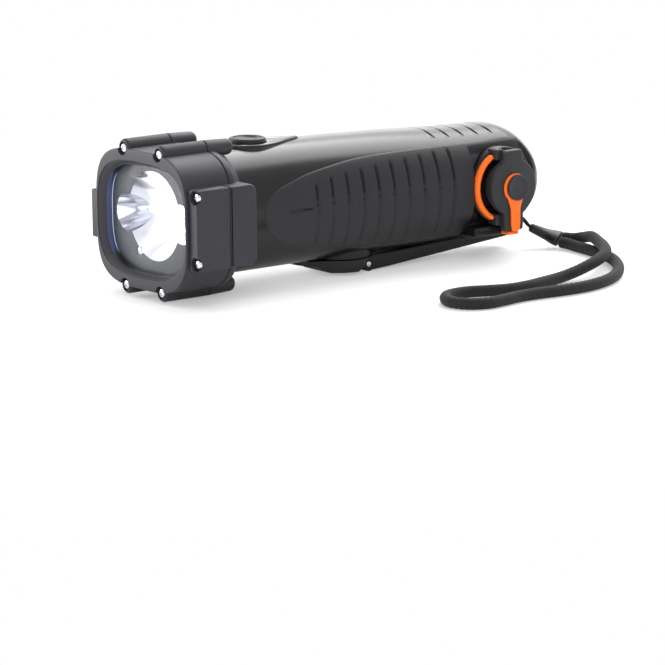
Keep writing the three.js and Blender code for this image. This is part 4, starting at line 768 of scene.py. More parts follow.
def grip_edges(y):
    """Lower and upper height of the grip outline at each y."""
    line = np.roll(grip_line, -front_tip, axis=0)
    turn_back = (rear_tip - front_tip) % len(line)
    upper, lower = line[:turn_back + 1], line[turn_back:][::-1]
    order_up, order_low = np.argsort(upper[:, 0]), np.argsort(lower[:, 0])
    return (np.interp(y, lower[order_low, 0], lower[order_low, 1]),
            np.interp(y, upper[order_up, 0], upper[order_up, 1]))


def grip_depth(y, z):
    """How far inside the outline a point is, in mm: its distance to the curve's chords, negative outside."""
    distance = np.full(y.shape, 1e9)
    for (y0, z0), (dy, dz) in zip(grip_line, np.roll(grip_line, -1, axis=0) - grip_line):
        along = np.clip(((y - y0) * dy + (z - z0) * dz) / (dy * dy + dz * dz), 0, 1)
        np.minimum(distance, np.hypot(y - y0 - along * dy, z - z0 - along * dz), out=distance)
    low, high = grip_edges(y)
    inside = (z > low) & (z < high) & (y > grip_line[:, 0].min()) & (y < grip_line[:, 0].max())
    return np.where(inside, distance, -distance)


# %% Barrel
TOP_GROOVES = [132.7 + 7.3 * i for i in range(5)]
TOP_GROOVE_REACH, TOP_GROOVE_DEPTH, TOP_GROOVE_HALF = 12.8, 0.5, 0.7
GRIP_BED, BED_FROM, BED_TO = 1.8, 0.8, 2.4


def barrel_relief(points):
    """How far the skin is pressed in, in mm: under the grips, and in the five grooves on top."""
    x, y, z = np.moveaxis(points, -1, 0)
    under_grip = GRIP_BED * soft_step(grip_depth(y, z), BED_FROM, BED_TO)
    top = z > BARREL_CENTRE + 8
    across = np.clip(1 - (np.abs(x) / TOP_GROOVE_REACH) ** 6, 0, 1)
    across = across * (0.3 + 0.7 * soft_step(np.abs(x), 2.0, 8.0))
    nearest = np.min([np.abs(y - place) for place in TOP_GROOVES], axis=0)
    groove = TOP_GROOVE_DEPTH * across * np.clip(1 - nearest / TOP_GROOVE_HALF, 0, 1) ** 0.7
    return under_grip + np.where(top, groove, 0.0)


def barrel_rows():
    """Places along the barrel: an even spacing, closer at the top grooves and the rounded rear."""
    even = steps(BARREL_FRONT, BARREL_REAR - END_CORNER, 180)
    near = TOP_GROOVE_HALF * np.array([-1, -0.71, -0.36, 0, 0.36, 0.71, 1])
    grooves = np.concatenate([place + near for place in TOP_GROOVES])
    rear = BARREL_REAR - END_CORNER + END_CORNER * np.sin(steps(0.02, 1, 46) * math.pi / 2)
    return np.unique(np.concatenate([even, grooves, rear]))


BARREL_AROUND = 320
barrel_turn = steps(0, 2 * math.pi, BARREL_AROUND + 1)[:-1][None, :]
barrel_grid = barrel_points(barrel_turn, barrel_rows()[:, None])
wrapped = np.concatenate([barrel_grid[:, -1:], barrel_grid, barrel_grid[:, :1]], axis=1)
barrel_grid = barrel_grid - outward(wrapped)[:, 1:-1] * barrel_relief(barrel_grid)[..., None]
barrel = skin("barrel_shell", barrel_grid, flat_ends=True, crisp=50.0)
print("barrel", len(barrel.data.polygons), "faces")

# %% [markdown]
# Each grip is a soft panel let into the barrel. Ten cross grooves give the fingers hold, a short
# groove and a row of pits mark its middle, and at the rear a shallow pocket with a clear step
# takes the port. All of that is one field of depths over the panel.

# %% Grip panels
GROOVES = [67.4 + 7.5 * i for i in range(10)]
GROOVE_ENDS = (-0.66, 0.44, -0.80, 0.67)
GROOVE_DEPTH, FRONT_WALL, REAR_WALL, PIT_HEIGHT, PIT_RADIUS, PIT_DEPTH = 0.9, 1.4, 0.6, 1.2, 1.1, 1.3
MIDDLE_FROM, MIDDLE_TO, MIDDLE_DEPTH, MIDDLE_HALF = 53.0, 64.9, 0.8, 0.75
POCKET_STEP, POCKET_BELOW, POCKET_OVER, POCKET_DEPTH = (144.6, 145.6), (-17.6, -16.9), (12.0, 15.2), 1.5
EDGE_SINK, EDGE_RISE, PANEL_WALL = 0.45, 0.75, 2.6


def cross_grooves(y, z):
    """Depth of the ten cross grooves, each a V with a gentle front wall that fades out at both ends."""
    depth = np.zeros(y.shape)
    for i, place in enumerate(GROOVES):
        share = math.sqrt(i / (len(GROOVES) - 1))
        low = BARREL_HALF_HEIGHT * (GROOVE_ENDS[0] + (GROOVE_ENDS[2] - GROOVE_ENDS[0]) * share)
        high = BARREL_HALF_HEIGHT * (GROOVE_ENDS[1] + (GROOVE_ENDS[3] - GROOVE_ENDS[1]) * share)
        ends = soft_step(z, low, low + 2.0) * soft_step(-z, -high, -high + 2.0)
        bridge = 1 - 0.75 * np.exp(-((z - 1.6) / 1.3) ** 2)
        wall = np.where(y < place, (place - y) / FRONT_WALL, (y - place) / REAR_WALL)
        fullness = 0.5 + 0.5 * soft_step(z, -3.0, 5.0)
        depth = np.maximum(depth, GROOVE_DEPTH * ends * bridge * fullness * np.clip(1 - wall, 0, 1))
        pit = np.hypot(y - place + 0.2, z - PIT_HEIGHT) / PIT_RADIUS
        depth = np.maximum(depth, PIT_DEPTH * np.clip(1 - pit, 0, 1))
    return depth


def middle_groove(y, z):
    """Depth of the short groove along the middle, ahead of the first cross groove."""
    run = soft_step(y, MIDDLE_FROM - 1.0, MIDDLE_FROM + 1.0) * soft_step(-y, -MIDDLE_TO - 0.5, -MIDDLE_TO + 0.5)
    return MIDDLE_DEPTH * run * np.clip(1 - np.abs(z) / MIDDLE_HALF, 0, 1)


def port_pocket(y, z):
    """Depth of the pocket round the port: a steep step in front, a long bevel above and behind."""
    along, below, over = soft_step(y, *POCKET_STEP), soft_step(z, *POCKET_BELOW), soft_step(z, *POCKET_OVER)
    return POCKET_DEPTH * along * below * (1 - over)


def grip_relief(y, z, with_port):
    """Press-in of the panel: its edge rises out of the skin as a quarter circle, then grooves and pocket."""
    inside = np.clip(grip_depth(y, z), 0, 1)
    edge = EDGE_SINK - EDGE_RISE * np.sqrt(1 - (1 - inside) ** 2)
    pocket = port_pocket(y, z) if with_port else 0.0
    return edge + cross_grooves(y, z) + middle_groove(y, z) + pocket


def grip_rows():
    """Places along the panel: an even spacing, closer at both ends, at each groove and at the pocket's step."""
    front, rear, ends = GRIP_FRONT + 0.02, GRIP_REAR - 0.02, 3.0 * steps(0, 1, 30) ** 2
    near = np.add.outer(GROOVES, [-1.5, -1.1, -0.75, -0.35, 0, 0.3, 0.6, 0.9]).ravel()
    step = steps(POCKET_STEP[0] - 0.2, POCKET_STEP[1] + 0.2, 5)
    return np.unique(np.concatenate([steps(front, rear, 200), front + ends, rear - ends, near, step]))


def grip_rings(side, with_port, around=150):
    """Rings of the panel: an outer row on the skin, pressed in by the relief, and a hidden inner row."""
    y = grip_rows()
    low, high = grip_edges(y)
    wide, tall, centre = barrel_section(y)
    start, end = (
        np.arcsin(np.clip(np.sign(z - centre) * np.abs((z - centre) / tall) ** (BARREL_POWER / 2), -1, 1))[:, None]
        for z in (low, high)
    )
    share = 0.6 * steps(0, 1, around) + 0.4 * (0.5 - 0.5 * np.cos(steps(0, math.pi, around)))
    turn = start + (end - start) * share
    grid = barrel_points(turn, y[:, None])
    normal = outward(grid)
    outer = grid + normal * (-grip_relief(grid[..., 1], grid[..., 2], with_port))[..., None]
    inner = (grid - normal * PANEL_WALL)[:, ::4][:, ::-1]
    rings = np.concatenate([outer, inner], axis=1)
    rings[..., 0] *= side
    return rings


for side, word in ((1, "right"), (-1, "left")):
    grip = skin("grip_skin_" + word, grip_rings(side, side > 0), crisp=60.0)
    dress(grip, "root", "grip_rubber", "grip_panel_" + word)
print("grip", len(grip.data.polygons), "faces")

# %% [markdown]
# Most of the head is made of two kinds of form. A prism is an outline pushed straight through, with its
# rims rounded over a few rows. A ring that faces forward is a set of outlines that share their angles, so
# that a rounded box can pass smoothly into an oval. Both are rows of points, so skin can close them.

# %% Prisms, outlines and cuts
def shrink(outline, distance):
    """Each corner moved inwards by distance from both its sides: (n1 + n2) / (1 + n1 . n2)."""
    along = np.roll(outline, -1, axis=0) - outline
    along /= np.maximum(np.linalg.norm(along, axis=1, keepdims=True), 1e-9)
    normal = np.stack([-along[:, 1], along[:, 0]], axis=-1)
    before = np.roll(normal, 1, axis=0)
    meet = (before + normal) / (1 + (before * normal).sum(axis=1, keepdims=True))
    u, v = outline.T
    if (u * np.roll(v, -1) - v * np.roll(u, -1)).sum() < 0:
        meet = -meet
    return outline + meet * distance


def prism(name, outline, axis, low, high, edge=0.0, rows=4, crisp=35.0):
    """A prism from low to high along an axis, each rim rounded by edge as a quarter circle."""
    outline = np.asarray(outline, float)
    turn = steps(0, math.pi / 2, rows) if edge else np.array([math.pi / 2])
    inset, rise = edge * (1 - np.sin(turn)), edge * (1 - np.cos(turn))
    insets = np.concatenate([inset, inset[::-1]])
    heights = np.concatenate([low + rise, high - rise[::-1]])
    layers = []
    for distance, height in zip(insets, heights):
        u, v = shrink(outline, distance).T
        level = np.full(u.shape, height)
        layers.append(np.stack({"x": (level, u, v), "y": (u, level, v), "z": (u, v, level)}[axis], axis=-1))
    return skin(name, np.stack(layers), flat_ends=True, crisp=crisp)


def box_outline(u0, u1, v0, v1, corners=(0.3, 0.3, 0.3, 0.3)):
    """A rectangle with its four corners rounded, from (u1, v1) counter-clockwise."""
    centres = [(u1, v1, -1, -1), (u0, v1, 1, -1), (u0, v0, 1, 1), (u1, v0, -1, 1)]
    arcs = [
        round_corner((u + du * r, v + dv * r), r, 90 * i, 90 * i + 90)
        for i, ((u, v, du, dv), r) in enumerate(zip(centres, corners))
    ]
    return np.concatenate(arcs)


def carve(piece, *tools, operation="DIFFERENCE", crisp=35.0):
    """The piece with each tool taken away (or joined, or kept in common), as one new mesh."""
    for tool in tools:
        cut = piece.modifiers.new("carve", "BOOLEAN")
        cut.operation, cut.solver, cut.object = operation, "MANIFOLD", tool
    graph = bpy.context.evaluated_depsgraph_get()
    mesh = bpy.data.meshes.new_from_object(piece.evaluated_get(graph))
    piece.modifiers.clear()
    piece.data = mesh
    for tool in tools:
        bpy.data.objects.remove(tool)
    mesh.shade_smooth()
    mesh.set_sharp_from_angle(angle=math.radians(crisp))
    return piece


def soften(piece, width, segments=2, angle=40.0):
    """A Bevel modifier of width mm on the edges sharper than angle."""
    bevel = piece.modifiers.new("soft_edge", "BEVEL")
    bevel.width, bevel.segments, bevel.limit_method = width * 0.001, segments, "ANGLE"
    bevel.angle_limit = math.radians(angle)
    bevel.harden_normals = True
    return piece


def pin(name, radius, low, high, axis, centre, edge=0.0, around=48):
    """A round rod whose two rims are rounded by edge."""
    turn = np.radians(steps(0, 90, 4)) if edge else np.array([math.pi / 2])
    reach, rise = radius - edge * (1 - np.sin(turn)), edge * (1 - np.cos(turn))
    reach, height = np.concatenate([reach, reach[::-1]]), np.concatenate([low + rise, high - rise[::-1]])
    return skin(name, lathe(np.stack([reach, height], -1), axis, centre, around), flat_ends=True)


def rounded_box(half_width, half_height, corner, turn):
    """Distance from the middle to a rounded rectangle: the nearer of side, lid and corner arc."""
    c, s = np.abs(np.cos(turn)), np.abs(np.sin(turn))
    side, lid = half_width / np.maximum(c, 1e-9), half_height / np.maximum(s, 1e-9)
    u, v = half_width - corner, half_height - corner
    dot = c * u + s * v
    arc = dot + np.sqrt(np.maximum(dot**2 - u**2 - v**2 + corner**2, 0))
    return np.where(side * s <= v, side, np.where(lid * c <= u, lid, arc))


def oval(half_width, half_height, turn, power):
    """Distance from the middle to the curve |x / a|^p + |z / b|^p = 1."""
    wide, tall = np.abs(np.cos(turn) / half_width), np.abs(np.sin(turn) / half_height)
    return (wide**power + tall**power) ** (-1 / power)


HEAD_AROUND = 256
head_turn = steps(0, 2 * math.pi, HEAD_AROUND + 1)[:-1]


def facing(rows):
    """Rings facing forward, from rows of (distances by angle, y)."""
    return np.stack([
        np.stack([reach * np.cos(head_turn), np.full(HEAD_AROUND, y), reach * np.sin(head_turn)], axis=-1)
        for reach, y in rows
    ])


# %% [markdown]
# The head is cast in two halves. The front one carries a flat ring round a hollow cove, and the
# lens sits at the bottom of the cove. Screws pull the halves together through four tubes and two side
# plates, and each screw sits in a round notch. The notches are cut with a Boolean, because their crisp
# edges are what shows. The rest is drawn as outlines by angle, which keeps the cove even.

# %% Head sizes
HEAD_WIDTH, HEAD_HEIGHT, HEAD_POWER, HEAD_LENGTH = 29.8, 26.6, 3.6, 20.8
COVE, WINDOW, SEAT, COVE_DEPTH, COVE_LIP, COVE_POWER = (28.7, 22.2), (25.2, 20.4), (26.4, 21.8), 4.4, 0.35, 3.2
TUBE_X, TUBE_Z, TUBE_RADIUS, TUBE_FRONT, TUBE_REAR = 11.6, 26.3, 3.5, 1.6, 33.9
PLATE_IN, PLATE_OUT, PLATE_HALF, PLATE_FRONT, PLATE_SEAM, PLATE_REAR = 28.4, 35.0, 15.4, 1.4, 16.5, 29.2
SCREW_RADIUS, SCREW_HEIGHT, NOTCH_RADIUS = 1.75, 1.2, 2.7
SIDE_SCREW_X, SIDE_SCREW_Y, SIDE_SCREW_Z = 33.2, 3.3, 12.6
TUBES = [("top_right", 1, 1), ("top_left", -1, 1), ("bottom_right", 1, -1), ("bottom_left", -1, -1)]
SIDE_SCREWS = [("right_upper", 1, 1), ("right_lower", 1, -1)]
LUG_LOW, LUG_HIGH = -10.9, 7.8


def head_box(inset):
    """The head's outline, a superellipse between an oval and a box, by angle."""
    return oval(HEAD_WIDTH - inset, HEAD_HEIGHT - inset, head_turn, HEAD_POWER)


def cove_oval(share):
    """The cove from its mouth (0) to the window (1): a hollow quarter of a circle in section."""
    wide = COVE[0] + (WINDOW[0] - COVE[0]) * share
    return oval(wide, COVE[1] + (WINDOW[1] - COVE[1]) * share, head_turn, COVE_POWER)


def cove_row(a, inset=0.0):
    """One row of the cove at angle a: it runs in from the lip and down to the window."""
    depth = COVE_LIP + (COVE_DEPTH - COVE_LIP - 0.2) * (1 - math.cos(a)) ** 0.8
    return cove_oval(math.sin(a) ** 1.4) - inset, depth


def notches():
    places = [(u * TUBE_X, v * TUBE_Z, TUBE_FRONT) for _, u, v in TUBES]
    places += [(u * SIDE_SCREW_X, v * SIDE_SCREW_Z, SIDE_SCREW_Y) for _, u, v in SIDE_SCREWS]
    return [pin("notch", NOTCH_RADIUS, -2.0, depth, "y", (x, 0, z), around=40) for x, z, depth in places]


# %% Front ring
FRONT_EDGE = 0.45
front_rows = [(head_box(0.25), HEAD_LENGTH), (head_box(0), HEAD_LENGTH - 0.25), (head_box(0), 1.1)]
front_rows += [(head_box(FRONT_EDGE * (1 - math.cos(a))), FRONT_EDGE * (1 - math.sin(a)))
               for a in steps(0, math.pi / 2, 6)[1:]]
front_rows += [(cove_oval(-0.06), 0.0), (cove_oval(-0.02), 0.08), (cove_oval(0.0), COVE_LIP)]
front_rows += [cove_row(a) for a in steps(0, math.pi / 2, 10)[1:]]
front_rows += [(cove_oval(1.0), COVE_DEPTH), (oval(*SEAT, head_turn, COVE_POWER), COVE_DEPTH),
               (oval(*SEAT, head_turn, COVE_POWER), HEAD_LENGTH)]
ring = carve(skin("bezel_ring", facing(front_rows), loop=True), *notches(), crisp=28.0)
dress(ring, "root", "head_plastic", "front_bezel")

TUBE_LIP = 1.3


def tube_profile(front, rear, taper=0.0, dome=0.0):
    """Radius and place along a tube: a rounded front lip, a slight taper, and a domed or square rear."""
    end = TUBE_RADIUS - taper
    if dome:
        cap = [(end - dome * (1 - math.cos(a)), rear - dome * (1 - math.sin(a)))
               for a in steps(0, math.pi / 2, 8)]
        return [(TUBE_RADIUS - 0.3, front), (TUBE_RADIUS, front + 0.3)] + cap
    lip = [(TUBE_RADIUS - TUBE_LIP * (1 - math.sin(a)), front + TUBE_LIP * (1 - math.cos(a)))
           for a in steps(0, math.pi / 2, 6)]
    return lip + [(end, rear - 0.2), (end - 0.2, rear)]


for name, u, v in TUBES:
    centre = (u * TUBE_X, 0, v * TUBE_Z)
    front = lathe(tube_profile(TUBE_FRONT - 0.9, HEAD_LENGTH), "y", centre)
    cutter = pin("notch", NOTCH_RADIUS - 0.2, -2.0, TUBE_FRONT, "y", centre, around=40)
    front = carve(skin("tube_front_" + name, front, flat_ends=True), cutter, crisp=28.0)
    rear = lathe(tube_profile(HEAD_LENGTH + FIT, TUBE_REAR, 0.4, 2.2), "y", centre)
    for piece in (front, skin("tube_rear_" + name, rear, flat_ends=True)):
        dress(piece, "root", "head_plastic")

for name, side, bottom, top in (("right", 1, -PLATE_HALF, PLATE_HALF), ("left", -1, LUG_LOW, LUG_HIGH)):
    outline = box_outline(PLATE_IN, PLATE_OUT, PLATE_FRONT, PLATE_SEAM, (0.4, 0.4, 0.4, 0.6)) * (side, 1)
    plate = prism("plate_front_" + name, outline, "z", bottom, top, edge=0.7)
    places = [(SIDE_SCREW_X, 0, v * SIDE_SCREW_Z) for v in (1, -1) if side > 0]
    cutters = [pin("notch", NOTCH_RADIUS, -2.0, SIDE_SCREW_Y, "y", place, around=40) for place in places]
    dress(carve(plate, *cutters, crisp=28.0), "root", "head_plastic")
    outline = box_outline(PLATE_SEAM + FIT, PLATE_REAR, bottom, top, (3.4, 0.4, 0.4, 3.4))
    low, high = sorted((side * (HEAD_WIDTH - 4.0), side * (PLATE_OUT - 0.1)))
    plate = prism("plate_rear_" + name, outline, "x", low, high, edge=0.9, rows=5)
    dress(plate, "root", "head_plastic")

# %% Collar
COLLAR_TURN, COLLAR_REAR = 23.0, 29.0
collar_end = rounded_box(26.2, 25.0, 18.2, head_turn)
collar_start = head_box(0.0)
collar_rows = [(head_box(0.3), HEAD_LENGTH + FIT)]
collar_rows += [(collar_start, HEAD_LENGTH + 2 * FIT), (collar_start, COLLAR_TURN)]
collar_rows += [(collar_start + (collar_end - collar_start) * (a - math.sin(2 * math.pi * a) / 12),
                 COLLAR_TURN + (COLLAR_REAR - 0.5 - COLLAR_TURN) * a) for a in steps(0.1, 1, 10)]
collar_rows += [(collar_end - 0.12, COLLAR_REAR - 0.2), (collar_end - 0.45, COLLAR_REAR)]
inner = np.stack([
    barrel_points(head_turn, np.full(HEAD_AROUND, y), -0.15) for y in (COLLAR_REAR, HEAD_LENGTH + FIT)
])
collar = skin("collar_ring", np.concatenate([facing(collar_rows), inner]), loop=True, crisp=28.0)
dress(collar, "root", "head_plastic", "head_collar")
print("head pieces done")

# %% [markdown]
# Seven small pan-head screws show, each with a cross recess. One screw is turned on a lathe profile and
# gets its cross from two crossed boxes, and the others are copies of its mesh moved to their places.

# %% Screws
SCREW_RIM, SHANK_RADIUS, CROSS_LONG, CROSS_THIN, SCREW_TURN = 0.45, 0.9, 1.05, 0.24, 0.7
REFLECTOR_SCREW = (-9.9, 6.9, -13.9)


def screw_mesh():
    """A pan head about the y axis with its seat at y = 0, its crown at -SCREW_HEIGHT, and a cross cut in it."""
    dome = SCREW_HEIGHT - SCREW_RIM
    top = [(SCREW_RADIUS * math.sin(a), -SCREW_RIM - dome * math.cos(a)) for a in steps(0.12, math.pi / 2, 8)]
    head_profile = top + [(SCREW_RADIUS, 0.0), (SHANK_RADIUS, 0.0), (SHANK_RADIUS, 3.0)]
    made = skin("screw", lathe(head_profile, "y", (0, 0, 0), 40), flat_ends=True)
    cross = [prism("cross", box_outline(-u, u, -v, v, (0.05,) * 4), "y", -2.0, -0.6)
             for u, v in ((CROSS_LONG, CROSS_THIN), (CROSS_THIN, CROSS_LONG))]
    return carve(made, *cross, crisp=30.0)


screw = screw_mesh()
screw_places = [("tube_screw_" + n, u * TUBE_X, TUBE_FRONT, v * TUBE_Z) for n, u, v in TUBES]
screw_places += [
    ("side_screw_" + n, u * SIDE_SCREW_X, SIDE_SCREW_Y, v * SIDE_SCREW_Z) for n, u, v in SIDE_SCREWS
]
screw_places += [("reflector_screw", *REFLECTOR_SCREW)]
for turned, (node, x, y, z) in enumerate(screw_places):
    mesh = screw.data.copy()
    mesh.transform(Matrix.Translation((-to_row((0, 0, 0))).tolist()))
    mesh.transform(Matrix.Rotation(SCREW_TURN * turned, 4, "Y"))
    mesh.transform(Matrix.Translation(to_row((x, y, z)).tolist()))
    piece = bpy.data.objects.new(node + "_head", mesh)
    bpy.context.scene.collection.objects.link(piece)
    dress(piece, "root", "bright_screw", node)
bpy.data.objects.remove(screw)
print("screws", len(screw_places))

# %% [markdown]
# Behind the window a gloss black plate frames three bowls, a wide one between two small ones. Each bowl
# is a paraboloid with its lamp at the bottom, and they run into each other. A Boolean leaves
# the sharp curved ridge between two bowls that a photograph of such a lamp always shows.

# %% Lamp
COVER_FRONT, BOWL_FRONT, BOWL_DEPTH, BOARD_FRONT = 6.0, 6.6, 12.9, 19.6
BOWLS = [("centre", 0.0, 1.0, 17.2), ("right", 17.7, 0.0, 7.6), ("left", -17.7, 0.3, 7.6)]
SCREW_PLACE, POST_PLACE = (REFLECTOR_SCREW[0], 0, REFLECTOR_SCREW[2]), (-8.2, 0, 16.4)
PANE, LAMP_RADIUS, LAMP_HEIGHT = (26.2, 21.6), 2.2, 2.6
seat_reach = oval(*PANE, head_turn, COVE_POWER)
seat_outline = np.stack([seat_reach * np.cos(head_turn), seat_reach * np.sin(head_turn)], -1)

cover_plate = prism("lamp_mask", seat_outline, "y", COVER_FRONT, COVER_FRONT + 0.5, edge=0.1, rows=3)
holes = [((x, 0, z), r, 96) for _, x, z, r in BOWLS] + [(SCREW_PLACE, SCREW_RADIUS + FIT, 32)]
cover_cuts = [pin("hole", r, COVER_FRONT - 2, COVER_FRONT + 3, "y", place, around=n) for place, r, n in holes]
dress(carve(cover_plate, *cover_cuts), "root", "soft_rubber", "lamp_cover")


def bowl(x, z, radius):
    """A paraboloid tool: at depth d its radius is floor + (mouth - floor) * sqrt(1 - d / depth)."""
    d = steps(0, 1, 24)
    reach = LAMP_RADIUS + FIT + (radius - LAMP_RADIUS - FIT) * np.sqrt(1 - d)
    profile = np.stack([reach, BOWL_FRONT + BOWL_DEPTH * d], -1)
    first, last = (radius, BOWL_FRONT - 2), (LAMP_RADIUS + FIT, BOWL_FRONT + BOWL_DEPTH + 2)
    profile = np.concatenate([[first], profile, [last]])
    return skin("bowl", lathe(profile, "y", (x, 0, z), 96), flat_ends=True)


block = prism("reflector_bowls", seat_outline, "y", BOWL_FRONT, BOWL_FRONT + BOWL_DEPTH)
screw_room = pin("hole", SHANK_RADIUS + FIT, BOWL_FRONT - 2, BOWL_FRONT + 9, "y", SCREW_PLACE, around=24)
block = carve(block, *[bowl(x, z, r - 0.1) for _, x, z, r in BOWLS], screw_room, crisp=24.0)
# The bowls take the chrome with its painted glow.
dress(block, "root", "reflector_chrome", "reflector")
post = pin("lamp_post", 1.8, COVER_FRONT - 0.2, BOWL_FRONT + 2, "y", POST_PLACE, edge=0.3, around=40)
dress(post, "root", "gloss_black")

for name, x, z, _ in BOWLS:
    turn = steps(0, math.pi / 2, 8)
    dome = np.stack([LAMP_RADIUS * np.sin(turn), BOARD_FRONT - LAMP_HEIGHT * np.cos(turn)], -1)
    dome = np.concatenate([[[0.02, BOARD_FRONT - LAMP_HEIGHT]], dome[1:], [[LAMP_RADIUS, BOARD_FRONT - 0.1]]])
    lamp_dome = skin("lamp_dome_" + name, lathe(dome, "y", (x, 0, z), 32), flat_ends=True)
    dress(lamp_dome, "root", "led_dome", "led_" + name)

LENS_FRONT, LENS_THICK = 5.2, 0.7
dress(prism("lens_pane", seat_outline, "y", LENS_FRONT, LENS_FRONT + LENS_THICK, edge=0.25, rows=3),
      "root", "clear_lens", "lens_window")
rim_rows = [cove_row(a, 0.12) for a in steps(1.0, math.pi / 2, 7)]
rim_rows += [(cove_oval(1.0) + a, COVE_DEPTH + 0.15) for a in (-0.12, 0.6)] + [cove_row(1.0, -0.6)]
lens_band = skin("lens_band", facing(rim_rows), loop=True)
dress(lens_band, "root", "soft_rubber", "lens_seal")
# The band takes the rim finish, with its painted navy tint and painted glow.
lens_band.data.materials[0] = finishes["lens_rim"]
print("lamp pieces done")

# %% [markdown]
# The barrel shell is hollow, as a moulding is, and open wherever something goes in: at the crank's
# round base, at the switch, at the charging bay, at the strap's anchor, and where the crank's knob
# lies in a scoop. Each opening is one plain solid taken away from the shell.

# %% Openings in the barrel
WALL, CAVITY_FLOOR, CAVITY_STEP, CAVITY_END, BAY_HALF, BAY_TALL = 2.4, -11.9, 157.0, 178.6, 9.0, 8.4
CRANK_Y, CRANK_RADIUS, KNOB_Y, KNOB_ROOM, SCOOP_TOP, SCOOP_TURN = 94.0, 12.5, 172.0, 5.6, -13.4, 26.0
PLATE_Y, BUTTON_RADIUS, SWITCH_RISE = 50.4, 7.2, 1.7


CAVITY_ROUND = 16.0


def cavity():
    """The hollow inside the shell, a wall away from the skin, above a floor over the charging bay."""
    corner = CAVITY_ROUND * (1 - np.sin(steps(0.1, 1, 14) * math.pi / 2))
    rows = np.concatenate([steps(18.0, CAVITY_END - CAVITY_ROUND, 30), CAVITY_END - corner])
    rings = barrel_points(barrel_turn[:, ::4], rows[:, None], WALL)
    made = skin("cavity", rings[:-1], flat_ends=True)
    floor_block = prism("floor", box_outline(-26, 26, CAVITY_STEP, 190), "z", -40, CAVITY_FLOOR)
    return carve(made, floor_block)


def scoop():
    """A channel along the knob's swing: an arc band about the crank's axis, joined with the round nest."""
    reach = KNOB_Y - CRANK_Y
    outer = round_corner((0, CRANK_Y), reach + KNOB_ROOM, 90, 90 + SCOOP_TURN, 24)
    inner = round_corner((0, CRANK_Y), reach - KNOB_ROOM, 90 + SCOOP_TURN, 90, 24)
    channel = prism("channel", np.concatenate([outer, inner]), "z", -40, SCOOP_TOP)
    return carve(channel, pin("nest", KNOB_ROOM, -41, SCOOP_TOP + 0.01, "z", (0, KNOB_Y, 0)), operation="UNION")


def bay():
    """The square room for the sockets behind the cover."""
    front, rear, low, high = PORT_Y - BAY_HALF, PORT_Y + BAY_HALF, PORT_Z - BAY_TALL, PORT_Z + BAY_TALL
    outline = box_outline(front, rear, low, high, (0.6,) * 4)
    return prism("bay", outline, "x", 6.0, 40.0)


def teardrop(turn, grow):
    """Distance from the button to the plate's outline: an ellipse in front and a Bezier tail behind."""
    half, front, tip = 8.8 + grow, 11.5 + grow, 24.5 + grow
    t = steps(0, 1, 80)[:, None]
    ends = np.array([(half, 0.0), (half, 5.75), (1.6 + grow, tip), (0.0, tip)])
    tail = (1 - t)**3 * ends[0] + 3 * (1 - t)**2 * t * ends[1] + 3 * (1 - t) * t**2 * ends[2] + t**3 * ends[3]
    tail_turn, tail_reach = np.arctan2(tail[:, 1], tail[:, 0]), np.hypot(*tail.T)
    mirrored = np.abs((turn + math.pi / 2) % (2 * math.pi) - math.pi)
    behind = np.interp(math.pi / 2 - mirrored, tail_turn, tail_reach)
    ahead = (np.abs(np.cos(turn) / half) ** 2 + np.abs(np.sin(turn) / front) ** 2) ** -0.5
    return np.where(np.sin(turn) > 0, behind, ahead)


drop_turn = steps(0, 2 * math.pi, 193)[:-1]


def drop_outline(grow):
    reach = teardrop(drop_turn, grow)
    return np.stack([reach * np.cos(drop_turn), PLATE_Y + reach * np.sin(drop_turn)], axis=-1)


barrel = carve(
    barrel, cavity(), scoop(), bay(),
    prism("plate_room", drop_outline(0.15), "z", 20.6 + SWITCH_RISE, 40.0),
    pin("base_room", CRANK_RADIUS + FIT, -40.0, -16.2, "z", (0, CRANK_Y, 0), around=96),
    prism("strap_mouth", box_outline(6.1, 13.1, 166.5, 190.0), "z", -18.7, -15.3),
    prism("strap_lip", box_outline(6.1, 13.1, 173.5, 190.0), "z", -40.0, -16.0),
    crisp=40.0,
)
dress(barrel, "root", "barrel_plastic", "main_barrel")
print("barrel", len(barrel.data.polygons), "faces after its openings")

# %% [markdown]
# The switch sits in a teardrop plate of polished black. Its outline is known by angle round the
# button, so the rows can go from the teardrop over its domed edge to the round hole. The button
# is turned, with the fine rings that a fingertip feels.

# %% Switch
PLATE_SEAT, PLATE_TOP, BUTTON_TOP = 20.9, 23.3, 24.9
drop_rows = [(0.0, PLATE_SEAT), (0.0, 21.9), (0.08, 22.3), (0.3, 22.7), (0.8, 23.0), (1.5, 23.2)]
hole_rows = [(7.9, PLATE_TOP), (7.62, PLATE_TOP - 0.12), (7.5, PLATE_TOP - 0.5), (7.5, PLATE_SEAT)]
hole_ring = np.stack([np.cos(drop_turn), np.sin(drop_turn)], axis=-1)
drop_levels = [(drop_outline(-inset), z) for inset, z in drop_rows]
drop_levels += [(hole_ring * radius + (0.0, PLATE_Y), z) for radius, z in hole_rows]
drop_rings = np.stack([np.insert(flat, 2, z + SWITCH_RISE, axis=1) for flat, z in drop_levels])
dress(skin("switch_teardrop", drop_rings, loop=True), "root", "gloss_black", "switch_plate")

button_profile = [
    (BUTTON_RADIUS - 0.1, 21.8), (BUTTON_RADIUS, 22.0), (BUTTON_RADIUS, 24.2), (7.05, 24.6), (6.7, 24.85),
    (6.2, BUTTON_TOP), (5.6, BUTTON_TOP - 0.02), (5.4, 24.55), (5.0, 24.5), (4.75, 24.75), (4.3, 24.78),
    (3.9, 24.45), (2.6, 24.3), (1.2, 24.24), (0.1, 24.22),
]
button = skin("switch_cap", lathe(button_profile, "z", (0, PLATE_Y, SWITCH_RISE), 96), flat_ends=True)
dress(button, "button", "soft_rubber", "switch_button")
print("switch done")

